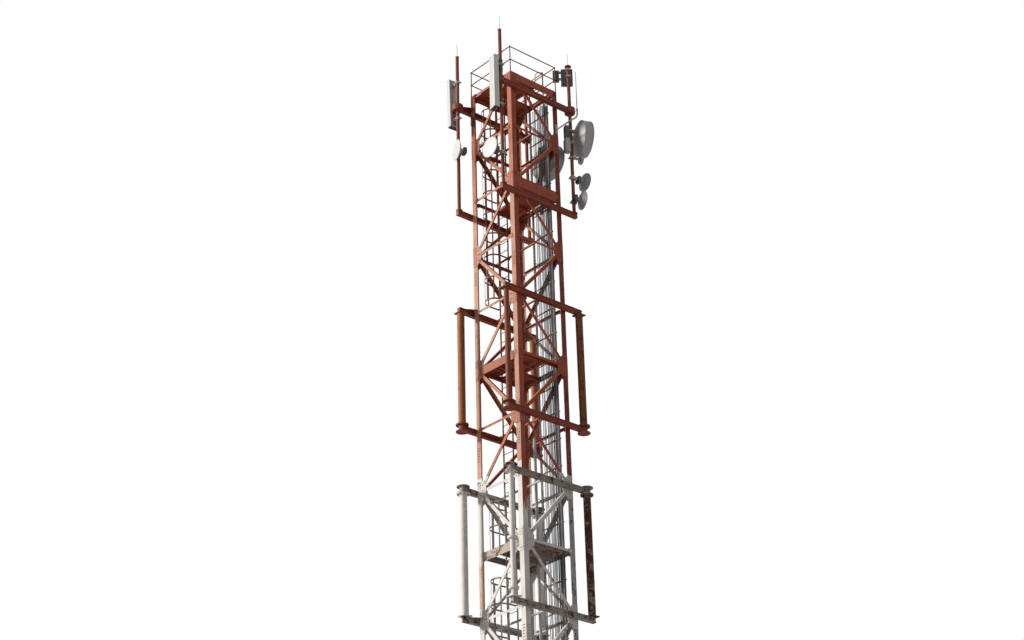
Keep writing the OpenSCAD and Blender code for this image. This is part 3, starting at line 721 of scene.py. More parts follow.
class Form:
    """Boxes, tubes, turned and drawn shapes gathered into one mesh with several finishes."""

    # Edges that turn by more than this stay sharp.
    sharp = math.radians(38)

    def __init__(self, finish: Finish) -> None:
        """Starts an empty form at the tower's axis.

        Args:
            finish: What the first shapes wear.
        """
        self.points: list[Array] = []
        self.faces: list[list[int]] = []
        self.finish_of: list[int] = []
        self.finishes: list[Finish] = []
        self.total = 0
        self.at().wear(finish)

    def wear(self, finish: Finish) -> "Form":
        """Gives what follows another finish.

        Args:
            finish: The finish.

        Returns:
            The form itself.
        """
        if finish not in self.finishes:
            self.finishes.append(finish)
        self.current = self.finishes.index(finish)
        return self

    def at(self, place: Point = (0, 0, 0), heading: float = 0.0, tilt: float = 0.0) -> "Form":
        """Moves the local frame.

        Args:
            place: Its origin, from the tower's axis at the ground.
            heading: Which way its X points, in degrees.
            tilt: How far its Z leans towards its X, in degrees.

        Returns:
            The form itself.
        """
        self.spin = turn_about_z(heading) @ tip_about_y(tilt)
        self.origin = AXIS + np.asarray(place, float)
        return self

    def add(self, points: Array, *groups: Array) -> None:
        """Adds points and faces.

        Args:
            points: The points, in the local frame.
            groups: Arrays of faces, each with equally many corners throughout.
        """
        self.points.append(np.asarray(points, float) @ self.spin.T + self.origin)
        for group in groups:
            self.faces += (group + self.total).tolist()
            self.finish_of += [self.current] * len(group)
        self.total += len(points)

    def prism(self, outline: ArrayLike, low: float, high: float, axis: int = 2) -> None:
        """Draws an outline out along an axis.

        Args:
            outline: Its corners, counterclockwise seen against the axis. They are X, Y
                for axis 2, Y, Z for axis 0, and Z, X for axis 1.
            low: Where it starts along the axis.
            high: Where it ends.
            axis: The number of the axis.
        """
        flat = np.asarray(outline, float)
        ends = [np.column_stack([flat, np.full(len(flat), end)]) for end in (low, high)]
        self.add(np.roll(np.concatenate(ends), axis + 1, axis=1), *skin(2, len(flat)))

    def block(self, low: Point, high: Point) -> None:
        """Adds a box between two corners."""
        (x, y, z), (u, v, w) = low, high
        self.prism([(x, y), (u, y), (u, v), (x, v)], z, w)

    def ribs(self, low: Point, high: Point, count: int, pitch: float) -> None:
        """Adds a row of equal boxes along Y.

        Args:
            low: The first box's low corner.
            high: Its high corner.
            count: How many there are.
            pitch: From each to the next.
        """
        for shift in range(count):
            self.block(np.add(low, (0, shift * pitch, 0)), np.add(high, (0, shift * pitch, 0)))

    def turned(self, profile: ArrayLike, start: Point = (0, 0, 0), axis: Point = UP,
               sides: int = 32) -> None:
        """Adds a turned shape.

        Args:
            profile: Rows of radius and distance along the axis, outside on the right.
            start: Where it starts.
            axis: Which way it points, of length 1.
            sides: How many sides it has.
        """
        self.add(*spun(start, axis, profile, sides))

    def disc(self, radius: float, height: float, start: Point = (0, 0, 0),
             sides: int = 28) -> None:
        """Adds an upright round bar or plate."""
        self.turned([(radius, 0), (radius, height)], start, UP, sides)

    def tube(self, start: Point, end: Point, radius: float, sides: int = 12) -> None:
        """Adds a round bar between two points.

        Args:
            start: The middle of one end.
            end: The middle of the other.
            radius: Its radius.
            sides: How many sides it has.
        """
        run = np.subtract(end, start).astype(float)
        length = float(np.linalg.norm(run))
        self.turned([(radius, 0), (radius, length)], start, run / length, sides)

    def hose(self, path: ArrayLike, radius: float, sides: int = 10) -> None:
        """Adds a round bar along a smooth path that bends in one plane.

        Each ring is radius times cos t and sin t in two directions across the path: one
        in the plane of the bend and one square to it.

        Args:
            path: The points that it follows.
            radius: Its radius.
            sides: How many sides it has.
        """
        path = np.asarray(path, float)
        run = np.gradient(path, axis=0)
        run /= np.linalg.norm(run, axis=1, keepdims=True)
        across = np.cross(run, np.cross(path[-1] - path[0], path[len(path) // 2] - path[0]))
        across /= np.linalg.norm(across, axis=1, keepdims=True)
        other = np.cross(run, across)
        angle = (np.arange(sides) * 2 * math.pi / sides)[:, None]
        verts = path[:, None] + radius * (np.cos(angle) * across[:, None]
                                          + np.sin(angle) * other[:, None])
        self.add(verts.reshape(-1, 3), *skin(len(path), sides))

    def strip(self, path: ArrayLike, thick: float, low: float, high: float) -> None:
        """Adds an upright band along a level path.

        Its outer side is the path moved square to itself by the thickness.

        Args:
            path: The points that it follows, as X and Y.
            thick: Its thickness, to the path's right.
            low: Height of its foot.
            high: Height of its head.
        """
        path = np.asarray(path, float)
        run = np.gradient(path, axis=0)
        run /= np.linalg.norm(run, axis=1, keepdims=True)
        outer = path + thick * np.stack([run[:, 1], -run[:, 0]], -1)
        self.prism(np.concatenate([outer, path[::-1]]), low, high)

    def studs(self, points: ArrayLike, normals: ArrayLike, size: float) -> None:
        """Adds six-sided bolt heads on washers, with size for half a head's width."""
        self.add(*spun(points, normals, BOLT_PROFILE * size, 6))

    def piece(self, name: str, *replaced: str) -> None:
        """Makes the object, which rides on the tower.

        Args:
            name: The piece's name.
            replaced: CAD nodes that it stands for.
        """
        mesh = bpy.data.meshes.new(name)
        mesh.from_pydata(np.concatenate(self.points).tolist(), [], self.faces)
        for finish in self.finishes:
            mesh.materials.append(finish.material)
        mesh.polygons.foreach_set("material_index", np.array(self.finish_of, np.int32))
        mesh.polygons.foreach_set("use_smooth", np.ones(len(self.faces), bool))
        mesh.set_sharp_from_angle(angle=self.sharp)
        mesh.update()
        made = placed(name, mesh)
        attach(made, "root")
        if replaced:
            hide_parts(*replaced)
        log.info("%s: %d faces", name, len(self.faces))

    def dressed(self, node: str) -> None:
        """Makes the object that stands for one CAD node."""
        self.piece(node + "_dressed", node)


@dataclass(frozen=True)
class Deck:
    """One work deck: a plate with a hatch and a cable slot, beams under it and a fascia.

    Args:
        finish: Its paint.
        level: The level that it lies on.
        beams: Depths of the edge beams over the four faces, 0 for none.
        hatch: The climbing hatch, as low X, low Y, high X, high Y.
        slot: The cable slot.
        face: The face with the fascia.
        joist: Depth of its joists.
        rise: How far the fascia's head is above the level.
        lid: Whether a closed lid lies over the hatch.
        half: Half the plate's width between the legs.
        tongue: Half the width of the plate's tongues between the gussets.
        plate: Heights of the plate's underside and top above the level.
        thick: Thickness of its channels and fascia.
        beam_w: Width of its channels and trimmers.
        seat: How far the edge beams reach from the axis.
        trimmer_x: Where the trimmer beside the hatch stands.
        trimmer_d: Depth of the trimmers.
        trimmer_end: How far the hatch trimmer reaches from the axis.
        slot_end: How far the slot trimmer and the joists reach.
        web: How far the joists reach where an edge beam stands in their way.
        joist_y: Where its joists lie.
        drop: How far the fascia's foot is under the level.
        fascia_half: Half the fascia's length.
        fascia_bolts: Heights of the fascia's bolts.
        lid_end: Where the lid ends, clear of the ladder.
        lid_edge: How far the lid overlaps the hatch.
    """

    finish: Finish
    level: int
    beams: tuple[float, float, float, float]
    hatch: tuple[float, float, float, float]
    slot: tuple[float, float, float, float]
    face: int
    joist: float = 0.10
    rise: float = 0.045
    lid: bool = False
    half: float = 0.845
    tongue: float = 0.56
    plate: tuple[float, float] = (0.0375, 0.0455)
    thick: float = 0.008
    beam_w: float = 0.05
    seat: float = 0.934
    trimmer_x: float = -0.075
    trimmer_d: float = 0.1
    trimmer_end: float = 0.876
    slot_end: float = 0.837
    web: float = 0.795
    joist_y: tuple[float, float] = (-0.375, 0.18)
    drop: float = 0.22
    fascia_half: float = 0.76
    fascia_bolts: tuple[float, float, float] = (-0.17, -0.08, 0.01)
    lid_end: float = -0.15
    lid_edge: float = 0.02

    @property
    def open_rear(self) -> bool:
        """Whether the hatch runs out to the rear edge."""
        return self.hatch[3] > self.half

    def covers(self, turn: int, z: Array) -> Array:
        """Whether its fascia covers a face at each of some heights."""
        above = z - level_z(self.level)
        return (self.face == turn) & (above >= -self.drop - 0.02) & (above <= self.rise + 0.02)

    def channel(self, form: Form, low: float, high: float, y: float, depth: float) -> None:
        """Adds a channel along X with its open side towards +Y, hung under the plate.

        Args:
            form: The form to add it to.
            low: Where it starts.
            high: Where it ends.
            y: Where its back is.
            depth: Its depth.
        """
        t, w = self.thick, self.beam_w
        outline = np.array([(0, -depth), (w, -depth), (w, t - depth), (t, t - depth), (t, -t),
                            (w, -t), (w, 0), (0, 0)])
        form.prism(outline + [y, self.plate[0]], low, high, 0)

    def sheet(self, form: Form) -> None:
        """Adds the plate, as a grid of cells with walls wherever a cell has no neighbour.

        A cell is kept between the legs or in a tongue between two gussets, out to the
        face, but not in the hatch or the slot.

        Args:
            form: The form to add it to.
        """
        h, t = self.half, self.tongue
        low_y, high_x, high_y, low_x = (
            way * (GUSSET_OUT if self.face == turn else HALF)
            for turn, way in enumerate((-1, 1, 1, -1)))
        x = np.unique([low_x, -h, -t, t, h, high_x, *self.hatch[::2], *self.slot[::2]])
        y = np.unique([low_y, -h, -t, t, h, high_y, *self.hatch[1::2], *self.slot[1::2]])
        mx, my = np.meshgrid((x[1:] + x[:-1]) / 2, (y[1:] + y[:-1]) / 2, indexing="ij")
        wide, deep = np.abs(mx), np.abs(my)
        kept = ((wide < h) & (deep < h)) | ((wide < t) & (deep > h)) | ((deep < t) & (wide > h))
        kept &= (low_x < mx) & (mx < high_x) & (low_y < my) & (my < high_y)
        for box in (self.hatch, self.slot):
            kept &= ~((box[0] < mx) & (mx < box[2]) & (box[1] < my) & (my < box[3]))
        grid = np.stack(np.meshgrid(x, y, self.plate, indexing="ij"), -1)
        index = np.arange(len(x) * len(y) * 2).reshape(len(x), len(y), 2)
        around = np.pad(kept, 1)
        i, j = np.nonzero(kept)
        corners = ((0, 0), (1, 0), (1, 1), (0, 1))
        low = [index[i + p, j + q, 0] for p, q in corners]
        top = [index[i + p, j + q, 1] for p, q in corners]
        faces = [np.stack(top, -1), np.stack(low[::-1], -1)]
        for side, (di, dj) in enumerate(((0, -1), (1, 0), (0, 1), (-1, 0))):
            after = (side + 1) % 4
            bare = ~around[i + 1 + di, j + 1 + dj]
            faces.append(np.stack([low[side], low[after], top[after], top[side]], -1)[bare])
        used, moved = np.unique(np.concatenate(faces), return_inverse=True)
        form.add(grid.reshape(-1, 3)[used], moved.reshape(-1, 4))

    def supports(self, form: Form) -> None:
        """Adds the trimmers beside the openings, and the joists between them.

        Args:
            form: The form to add them to.
        """
        low, high = self.plate[0] - self.trimmer_d, self.plate[0] - 0.0005
        left, right = self.trimmer_x, self.trimmer_x + self.beam_w
        slot_x, hatch_y = self.slot[0] - self.beam_w, self.hatch[1]
        inner = self.web if self.beams[3] else self.trimmer_end
        form.block((left, -self.trimmer_end, low), (right, self.trimmer_end, high))
        form.block((slot_x, -self.slot_end, low), (self.slot[0], self.slot_end, high))
        if self.open_rear:
            form.block((-inner, hatch_y - self.beam_w, low), (left, hatch_y, high))
        for y in self.joist_y:
            start = right if self.open_rear and y > hatch_y else -inner
            end = slot_x if y < self.slot[3] else self.slot_end
            for a, b in ((start, min(end, left)), (max(start, right), end)):
                if b - a > 0.1:
                    self.channel(form, a, b, y, self.joist)

    def cover(self, form: Form) -> None:
        """Adds the lid on the hatch, with ribs, two hinges and a handle.

        The handle is half an ellipse: cos t along the lid and sin t above it.

        Args:
            form: The form to add it to.
        """
        low_x, low_y, _, high_y = self.hatch
        edge, top, far = self.lid_edge, self.plate[1], self.lid_end
        form.block((low_x - edge, low_y - edge, top), (far, high_y + edge, top + 0.006))
        for y in (low_y + 0.17, high_y - 0.17):
            form.block((low_x + 0.02, y - 0.004, top - 0.035), (far - 0.02, y + 0.004, top))
        form.wear(Finish.BOLT_WORN)
        for y in (low_y + 0.1, high_y - 0.1):
            form.tube((low_x - edge, y - 0.04, top + 0.008),
                      (low_x - edge, y + 0.04, top + 0.008), 0.009, 10)
        middle = (low_y + high_y) / 2
        form.hose([(far - 0.05, middle - 0.06 * math.cos(t), top + 0.004 + 0.04 * math.sin(t))
                   for t in np.linspace(0, math.pi, 9)], 0.006, 8)

    def fascia(self, form: Form) -> None:
        """Adds the fascia plate over one face, with a row of bolts at each end.

        Args:
            form: The form, its frame turned to that face.
        """
        front = -GUSSET_OUT - self.thick
        form.block((-self.fascia_half, front, -self.drop),
                   (self.fascia_half, -GUSSET_OUT, self.rise))
        x = self.fascia_half - 0.05
        form.wear(Finish.BOLT_WORN).studs(
            [(way * x, front, z) for way in (-1, 1) for z in self.fascia_bolts], (0, -1, 0), 0.014)

    def build(self) -> None:
        """Makes the deck in place of its node."""
        place = (0, 0, level_z(self.level))
        form = Form(self.finish).at(place)
        self.sheet(form)
        for turn, depth in enumerate(self.beams):
            if depth:
                end = -self.trimmer_x if turn == 2 and self.open_rear else self.seat
                self.channel(form.at(place, 90 * turn), -self.seat, end, -self.half, depth)
        self.supports(form.at(place))
        if self.lid:
            self.cover(form)
        self.fascia(form.wear(self.finish).at(place, 90 * self.face))
        form.dressed(self.finish.name.lower())


LID_HATCH = (-0.64, 0.28, -0.07, 0.795)
OPEN_HATCH = (-0.951, -0.20, -0.07, 0.951)
WIDE_SLOT = (0.175, -0.79, 0.795, 0.15)
NARROW_SLOT = (0.64, -0.79, 0.795, 0.40)
DECKS = (
    Deck(Finish.TOP_DECK, level=0, beams=(0.10, 0.10, 0.10, 0.0), hatch=LID_HATCH,
         slot=WIDE_SLOT, face=0, lid=True),
    Deck(Finish.UPPER_DECK, level=2, beams=(0.10, 0.10, 0.15, 0.0), hatch=OPEN_HATCH,
         slot=NARROW_SLOT, face=0, rise=0.150),
    Deck(Finish.MIDDLE_DECK, level=5, beams=(0.10, 0.10, 0.15, 0.10), hatch=LID_HATCH,
         slot=WIDE_SLOT, face=3, lid=True),
    Deck(Finish.LOWER_DECK, level=8, beams=(0.10, 0.10, 0.15, 0.10), hatch=LID_HATCH,
         slot=NARROW_SLOT, face=3, joist=0.17),
)


@dataclass(frozen=True)
class GussetBolts:
    """Bolts of a run of bracing levels on all four faces, as the solids have it.

    Args:
        name: The run's name.
        finish: The heads' finish.
        first: The tower level of its first gusset.
        count: How many levels down it goes.
        pitch: Distance between levels along the face.
        gusset_h: Height of its gussets.
        step: Outward step of the face per level.
        tilt: Lean of the face, in radians.
        leg_w: Width of a leg's flange.
        size: Half the width of a head.
        columns: Distances of a gusset's two bolt columns from the leg's edge.
        rows: Heights of its bolts, as shares of the gusset's height from its middle.
        diagonal: Distances of the bolts along a diagonal from its end.
        horizontal: Distances of a horizontal's bolts at the gusset from the leg's edge.
        cleat: The same at the cleat, each with its height.
    """

    name: str
    finish: Finish
    first: int
    count: int
    pitch: float = BAY
    gusset_h: float = 0.68
    step: float = 0.0
    tilt: float = 0.0
    leg_w: float = 0.18
    size: float = 0.015
    columns: tuple[float, float] = (0.045, 0.13)
    rows: tuple[float, float, float, float] = (0.06, 0.17, 0.28, 0.39)
    diagonal: tuple[float, float, float] = (0.21, 0.275, 0.34)
    horizontal: tuple[float, float] = (0.225, 0.29)
    cleat: tuple[tuple[float, float], ...] = ((0.13, 0.035), (0.13, -0.035), (0.225, 0.0))

    def places(self, turn: int) -> Array:
        """Bolt places on one face, in the face's own plane.

        The gussets stand at the two legs by turns. A gusset's columns follow the leg, a
        diagonal's bolts lie on the line from one gusset to the next, and a horizontal's
        lie on its level.

        Args:
            turn: The face's number, in quarter turns.

        Returns:
            Rows of x and z, z downwards from the run's first level.
        """
        level = np.arange(self.count + 1)
        z, half = -level * self.pitch, HALF + self.step * level
        side = np.where((self.first + level + turn) % 2 == 0, -1.0, 1.0)
        rows = np.array([way * row for way in (-1, 1) for row in self.rows]) * self.gusset_h
        found = []
        for column in self.columns:
            x = half[:, None] - self.step / self.pitch * rows - column
            found.append(np.stack([side[:, None] * x, z[:, None] + rows], -1).reshape(-1, 2))
        node = np.stack([side * (half - self.leg_w / 2), z], -1)
        run = node[1:] - node[:-1]
        run /= np.linalg.norm(run, axis=1, keepdims=True)
        for far in self.diagonal:
            found += [node[:-1] + far * run, node[1:] - far * run]
        found += [np.stack([side * (half - inner), z], -1) for inner in self.horizontal]
        found += [np.stack([-side * (half - inner), z + up], -1) for inner, up in self.cleat]
        return np.concatenate(found)

    def build(self) -> None:
        """Puts the bolt heads on each face, where no arm or fascia covers them."""
        foot = -self.count * self.pitch + 0.12
        tilt = lean(self.tilt)
        for turn, face in enumerate(FACES):
            x, z = self.places(turn).T
            local = np.stack([x, np.full(len(x), -GUSSET_T), z], -1)[(z < 0.04) & (z > foot)]
            spin = turn_about_z(90 * turn)
            world = (local @ tilt.T + [0, -HALF, level_z(self.first)]) @ spin.T
            clear = ~np.any([deck.covers(turn, world[:, 2]) for deck in DECKS], axis=0)
            if turn % 2 == 0:
                clear &= np.all(np.abs(world[:, 2:] - ARM_Z) > 0.10, axis=1)
            form = Form(self.finish)
            form.studs(world[clear], tilt @ [0, -1.0, 0] @ spin.T, self.size)
            form.piece(f"{self.name}_bolts_{face}")


@dataclass(frozen=True)
class Railing:
    """Top railing whose posts stand on the legs.

    Args:
        post: Distance of the posts from the axis, along X and along Y.
        radius: Radius of the posts and rails.
        foot: Height where the posts start above the top level.
        rails: Heights of the rails.
    """

    post: float = 0.933
    radius: float = 0.017
    foot: float = 0.06
    rails: tuple[float, float] = (0.5035, 0.9785)

    def build(self) -> None:
        """Makes the posts, rails and feet, side by side."""
        p, foot = self.post, self.foot
        form = Form(Finish.RAILING)
        for turn in range(4):
            form.wear(Finish.RAILING).at((0, 0, TOP_Z), 90 * turn)
            form.tube((-p, -p, foot), (-p, -p, self.rails[1] + self.radius), self.radius)
            form.block((-HALF, -HALF, foot), (0.06 - HALF, 0.06 - HALF, foot + 0.008))
            for z in self.rails:
                form.tube((-p, -p, z), (p, -p, z), self.radius)
                form.turned([(0.022, -0.02), (0.024, 0), (0.022, 0.02)], (-p, -p, z), sides=12)
            form.wear(Finish.GALVANISED).studs(
                (0.048 - HALF, 0.048 - HALF, foot + 0.008), UP, 0.007)
        form.dressed("top_railing")


@dataclass(frozen=True)
class Cage:
    """Safety cage of hoops and straps round the climbing way.

    Args:
        ladder: Place of the ladder's rungs from the tower's axis.
        rung: Half the ladder's width, where the hoops are held.
        reach: From the rungs to the cage's far side.
        radius: Half its width.
        pitch: Distance between hoops.
        hoop_h: Height of a hoop.
        hoop_t: Thickness of a hoop and of a strap.
        runs: Heights between which it stands: below the lower deck, on it, and above the
            middle deck.
    """

    ladder: tuple[float, float] = (-0.10, 0.55)
    rung: float = 0.213
    reach: float = 0.68
    radius: float = 0.29
    pitch: float = 0.74
    hoop_h: float = 0.05
    hoop_t: float = 0.008
    runs: tuple[tuple[float, float], ...] = (
        (2.28, level_z(8) - 0.45),
        (level_z(8) + 0.045, level_z(8) + 0.145 + 2 * pitch),
        (level_z(5) + 2.25, TOP_Z - 0.45))

    def run(self, form: Form, low: float, high: float) -> None:
        """Adds the hoops that fit between two heights, with their straps.

        A hoop is half a circle, with a straight run from each end of it to the ladder.

        Args:
            form: The form to add them to.
            low: The lower height.
            high: The upper height.
        """
        (x, y), r, t = self.ladder, self.radius, self.hoop_t
        middle = x - self.reach + r
        turn = np.radians(np.linspace(90, 270, 19))
        arc = np.stack([middle + r * np.cos(turn), y + r * np.sin(turn)], -1)
        path = np.concatenate([[(x + 0.006, y + r)], arc, [(x + 0.006, y - r)]])
        count = int((high - low - self.hoop_h) / self.pitch)
        form.at()
        for z in low + np.arange(count + 1) * self.pitch:
            form.strip(path, t, z, z + self.hoop_h)
            for start, end in ((-r - 0.004, -self.rung), (self.rung, r + 0.004)):
                form.block((x - 0.004, y + start, z), (x + 0.006, y + end, z + self.hoop_h))
        top = low + count * self.pitch + self.hoop_h
        for angle in range(90, 271, 45):
            form.at((middle, y, 0), angle).block((r - t, -0.02, low), (r + 0.001, 0.02, top))

    def build(self) -> None:
        """Makes the runs."""
        form = Form(Finish.CAGE)
        for low, high in self.runs:
            self.run(form, low, high)
        form.dressed("ladder_cage")


@dataclass(frozen=True)
class CableRun:
    """The cable ladder, its feeders and what holds them.

    Args:
        x: Where the ladder stands.
        stiles: Where its stiles stand along Y.
        half_stile: Half a stile's width.
        half_rung: Half a rung's thickness, and how far the feeders lie from the middle.
        reach: Where its rungs end.
        head: Height of its head.
        hold: Height of a bracket above its level.
        thick: Where the thick feeders lie along Y.
        thin: Where the thin ones lie.
        conduit_y: Where the conduit lies.
        conduit_r: The conduit's radius.
    """

    x: float = 0.765
    stiles: tuple[float, float] = (-0.54, 0.10)
    half_stile: float = 0.015
    half_rung: float = 0.008
    reach: tuple[float, float] = (-0.76, 0.14)
    head: float = TOP_Z + 0.945
    hold: float = 0.0375
    thick: tuple[float, ...] = (-0.735, -0.685, -0.635, -0.585, -0.5)
    thin: tuple[float, ...] = (-0.42, -0.38, -0.34, -0.29, -0.245, -0.16, -0.115, -0.05,
                               0.06, 0.13)
    conduit_y: float = 0.32
    conduit_r: float = 0.045

    @property
    def rungs(self) -> Array:
        """Heights of the rungs."""
        return np.arange(0.455, TOP_Z, 0.85)

    def bracket(self, form: Form, level: int, x: float, y: float) -> None:
        """Adds a flat bracket from a place on the ladder to the face behind it."""
        w, z = self.half_stile, level_z(level) + self.hold
        form.block((x, y - w, z), (HALF - 0.014, y + w, z + 0.008))

    def ladder(self) -> None:
        """Makes the stiles, rungs, brackets and the curved hand rails at the head.

        A hand rail is a quarter of an ellipse and a straight end: sin t outwards and
        cos t upwards.
        """
        x, w, t = self.x, self.half_stile, self.half_rung
        form = Form(Finish.CABLE_LADDER)
        for y in self.stiles:
            form.block((x - w, y - w, 0.03), (x + w, y + w, self.head))
            for level in (1, 3, 4, 6, 7, 9, 10, 11, 12):
                self.bracket(form, level, x, y)
        for z in self.rungs:
            form.block((x - t, self.reach[0], z), (x + t, self.reach[1], z + 0.03))
        for z in (self.head - 0.06, self.head - 0.5):
            form.block((x - t, self.stiles[0], z), (x + t, self.stiles[1], z + 0.03))
        form.wear(Finish.GALVANISED)
        for y, rise in zip(self.stiles, (0.0, -0.05)):
            arc = [(x - 0.02 - 0.30 * math.sin(t), y,
                    self.head - 0.32 + rise + 0.28 * math.cos(t))
                   for t in np.linspace(0, math.pi / 2, 9)]
            form.hose([*arc, (x - 0.33, y, TOP_Z + 0.35)], 0.014)
        form.dressed("cable_ladder")

    def feeders(self) -> None:
        """Makes the feeders on the rungs with a clip at each, a conduit and the black joint."""
        dark, worn = Finish.FEEDER_DARK, Finish.BOLT_WORN
        tones = (dark, Finish.FEEDER_GREY, dark, Finish.FEEDER_PALE, Finish.FEEDER_GREY)
        form = Form(dark)
        face = self.x - self.half_rung
        runs = [(y, 0.020, TOP_Z - (0.30, 0.42)[i % 2]) for i, y in enumerate(self.thick)]
        runs += [(y, 0.011, TOP_Z - (0.2, 0.29, 0.38)[i % 3]) for i, y in enumerate(self.thin)]
        for i, (y, r, head) in enumerate(runs):
            form.wear(tones[(i * 3) % 5] if r > 0.015 else tones[(i * 2 + i // 3) % 5])
            form.turned([(r, 0.03), (r, head - 0.012), (r * 0.8, head)], (face - r, y, 0),
                        sides=12)
            form.wear(worn)
            for z in self.rungs[self.rungs < head - 0.05]:
                form.block((face - 2 * r - 0.004, y - r - 0.005, z + 0.002),
                           (face, y + r + 0.005, z + 0.028))
        form.wear(Finish.CONDUIT)
        middle, top = face - self.conduit_r, level_z(6)
        form.turned([(self.conduit_r, 0.03), (self.conduit_r, top)],
                    (middle, self.conduit_y, 0), sides=24)
        for z in np.arange(2.4, top, 3.0):
            form.turned(barrel(0.052, 0.12, 0.002, 0.01), (middle, self.conduit_y, z), sides=24)
        form.wear(worn)
        for level in (7, 9, 10, 11, 12):
            self.bracket(form, level, face - 0.11, self.conduit_y)
        form.wear(dark).turned(barrel(0.044, 0.32, 0.014, 0.03),
                               (-HALF - 0.044, HALF - 0.09, TOP_Z - 1.07), sides=16)
        form.dressed("feeder_cables")

    def build(self) -> None:
        """Makes the cable ladder and the feeders."""
        self.ladder()
        self.feeders()


@dataclass(frozen=True)
class SmallFittings:
    """Anchor bolts, leg splice bolts and the lamp under the top deck.

    Args:
        anchor: Distance of an anchor bolt from its plate's centre, along X and along Y.
        splices: Levels of the leg splices.
        columns: Distances of a splice's bolt columns from the leg's edge.
        rows: Half the height of a splice's bolts.
        lamp: Where the lamp hangs.
    """

    anchor: float = 0.19
    splices: tuple[float, float, float] = (3.4, 6.4, 9.4)
    columns: tuple[float, float] = (0.055, 0.115)
    rows: float = 0.2
    lamp: tuple[float, float, float] = (0.06, -HALF + 0.12, TOP_Z - 0.235)

    def anchors(self) -> None:
        """Makes the anchor bolts with nuts in the foot plates' holes."""
        form = Form(Finish.BOLT_WORN)
        ring = circle(self.anchor * math.sqrt(2), 4, math.pi / 4)
        for corner in Corner:
            form.at(corner.place(*AXIS[:2]))
            for place in ring:
                form.turned([(0.015, 0.002), (0.015, 0.105), (0.012, 0.11)], place, sides=12)
            form.studs(ring + [0, 0, 0.03], UP, 0.026)
        form.piece("anchor_bolts")

    def splice_bolts(self) -> None:
        """Makes two columns of bolts through each leg flange at the splices."""
        form = Form(Finish.BOLT_WORN)
        for corner in Corner:
            for level in self.splices:
                for z in level_z(level) + np.linspace(-self.rows, self.rows, 6):
                    for flat in (HALF - column for column in self.columns):
                        form.studs(corner.place(HALF, flat, z), corner.place(1, 0), 0.014)
                        form.studs(corner.place(flat, HALF, z), corner.place(0, 1), 0.014)
        form.piece("leg_splice_bolts")

    def deck_lamp(self) -> None:
        """Makes a small white lamp under the top deck, over the right front face."""
        form = Form(Finish.GALVANISED).at(self.lamp)
        form.disc(0.05, 0.04, sides=20)
        form.block((-0.02, -0.02, 0.035), (0.02, 0.02, 0.24))
        form.wear(Finish.PANEL).turned(
            [(0.02, -0.14), (0.055, -0.125), (0.075, -0.08), (0.075, -0.03), (0.05, 0.002)],
            sides=24)
        form.piece("deck_lamp")

    def build(self) -> None:
        """Makes the anchor bolts, the splice bolts and the lamp."""
        self.anchors()
        self.splice_bolts()
        self.deck_lamp()


@dataclass(frozen=True)
class ArmClamps:
    """Round clamps at the ends of the upper top arms.

    Args:
        radius: A clamp's radius.
        near_radius: The near clamp's radius.
        half_h: Half its height.
        edge: Its bevel.
    """

    radius: float = 0.17
    near_radius: float = 0.115
    half_h: float = 0.1
    edge: float = 0.012

    def build(self) -> None:
        """Makes the clamps, with six bolts round each."""
        form = Form(Finish.TOP_ARMS)
        for corner in Corner:
            radius = self.near_radius if corner is Corner.NEAR else self.radius
            form.wear(Finish.TOP_ARMS).at(corner.pipe(ARM_Z[0]))
            form.turned(barrel(radius, 2 * self.half_h, self.edge, self.edge),
                        (0, 0, -self.half_h), sides=28)
            ring = circle(radius, 6, 0.4)
            form.wear(Finish.BOLT_RED).studs(ring, ring / radius, 0.016)
        form.piece("arm_clamps")


@dataclass(frozen=True)
class TopPipes:
    """Top pipes with foot flanges, heads and lightning rods, and tape round the near one.

    Args:
        radius: A pipe's radius.
        heads: Heights of the heads above the top level.
        cap: Radius and height of a head's cap.
        wide_cap: The same for the right pipe.
        foot: Radius and height of a foot flange.
        tape_z: Heights between which the tape is.
    """

    radius: float = 0.054
    heads: tuple[tuple[Corner, float], ...] = (
        (Corner.NEAR, 1.33), (Corner.RIGHT, 1.155), (Corner.BACK, 1.27), (Corner.LEFT, 1.41))
    cap: tuple[float, float] = (0.06, 0.012)
    wide_cap: tuple[float, float] = (0.105, 0.03)
    foot: tuple[float, float] = (0.1, 0.02)
    tape_z: tuple[float, float] = (35.45, 36.25)

    def build(self) -> None:
        """Makes the pipes.

        The tape's radius is the pipe's plus two sine waves of its height.
        """
        form = Form(Finish.TOP_PIPES)
        low = ARM_Z[1] + ARM_HALF
        for corner, rise in self.heads:
            top = (0, 0, TOP_Z + rise - low)
            form.wear(Finish.TOP_PIPES).at(corner.pipe(low))
            form.disc(self.radius, top[2], sides=24)
            form.disc(*self.foot)
            form.disc(*(self.wide_cap if corner is Corner.RIGHT else self.cap), top)
            form.wear(Finish.GALVANISED)
            form.turned([(0.008, 0), (0.008, 0.47), (0.002, 0.5)], top, sides=8)
            form.studs(circle(0.082, 6) + [0, 0, self.foot[1]], UP, 0.011)
        z = np.linspace(*self.tape_z, 90)
        lumps = self.radius + 0.014 + 0.006 * np.sin(z * 61) + 0.006 * np.sin(z * 23)
        form.wear(Finish.TAPE).at(Corner.NEAR.pipe())
        form.turned(np.stack([lumps, z], -1), sides=20)
        form.dressed("top_pipes")


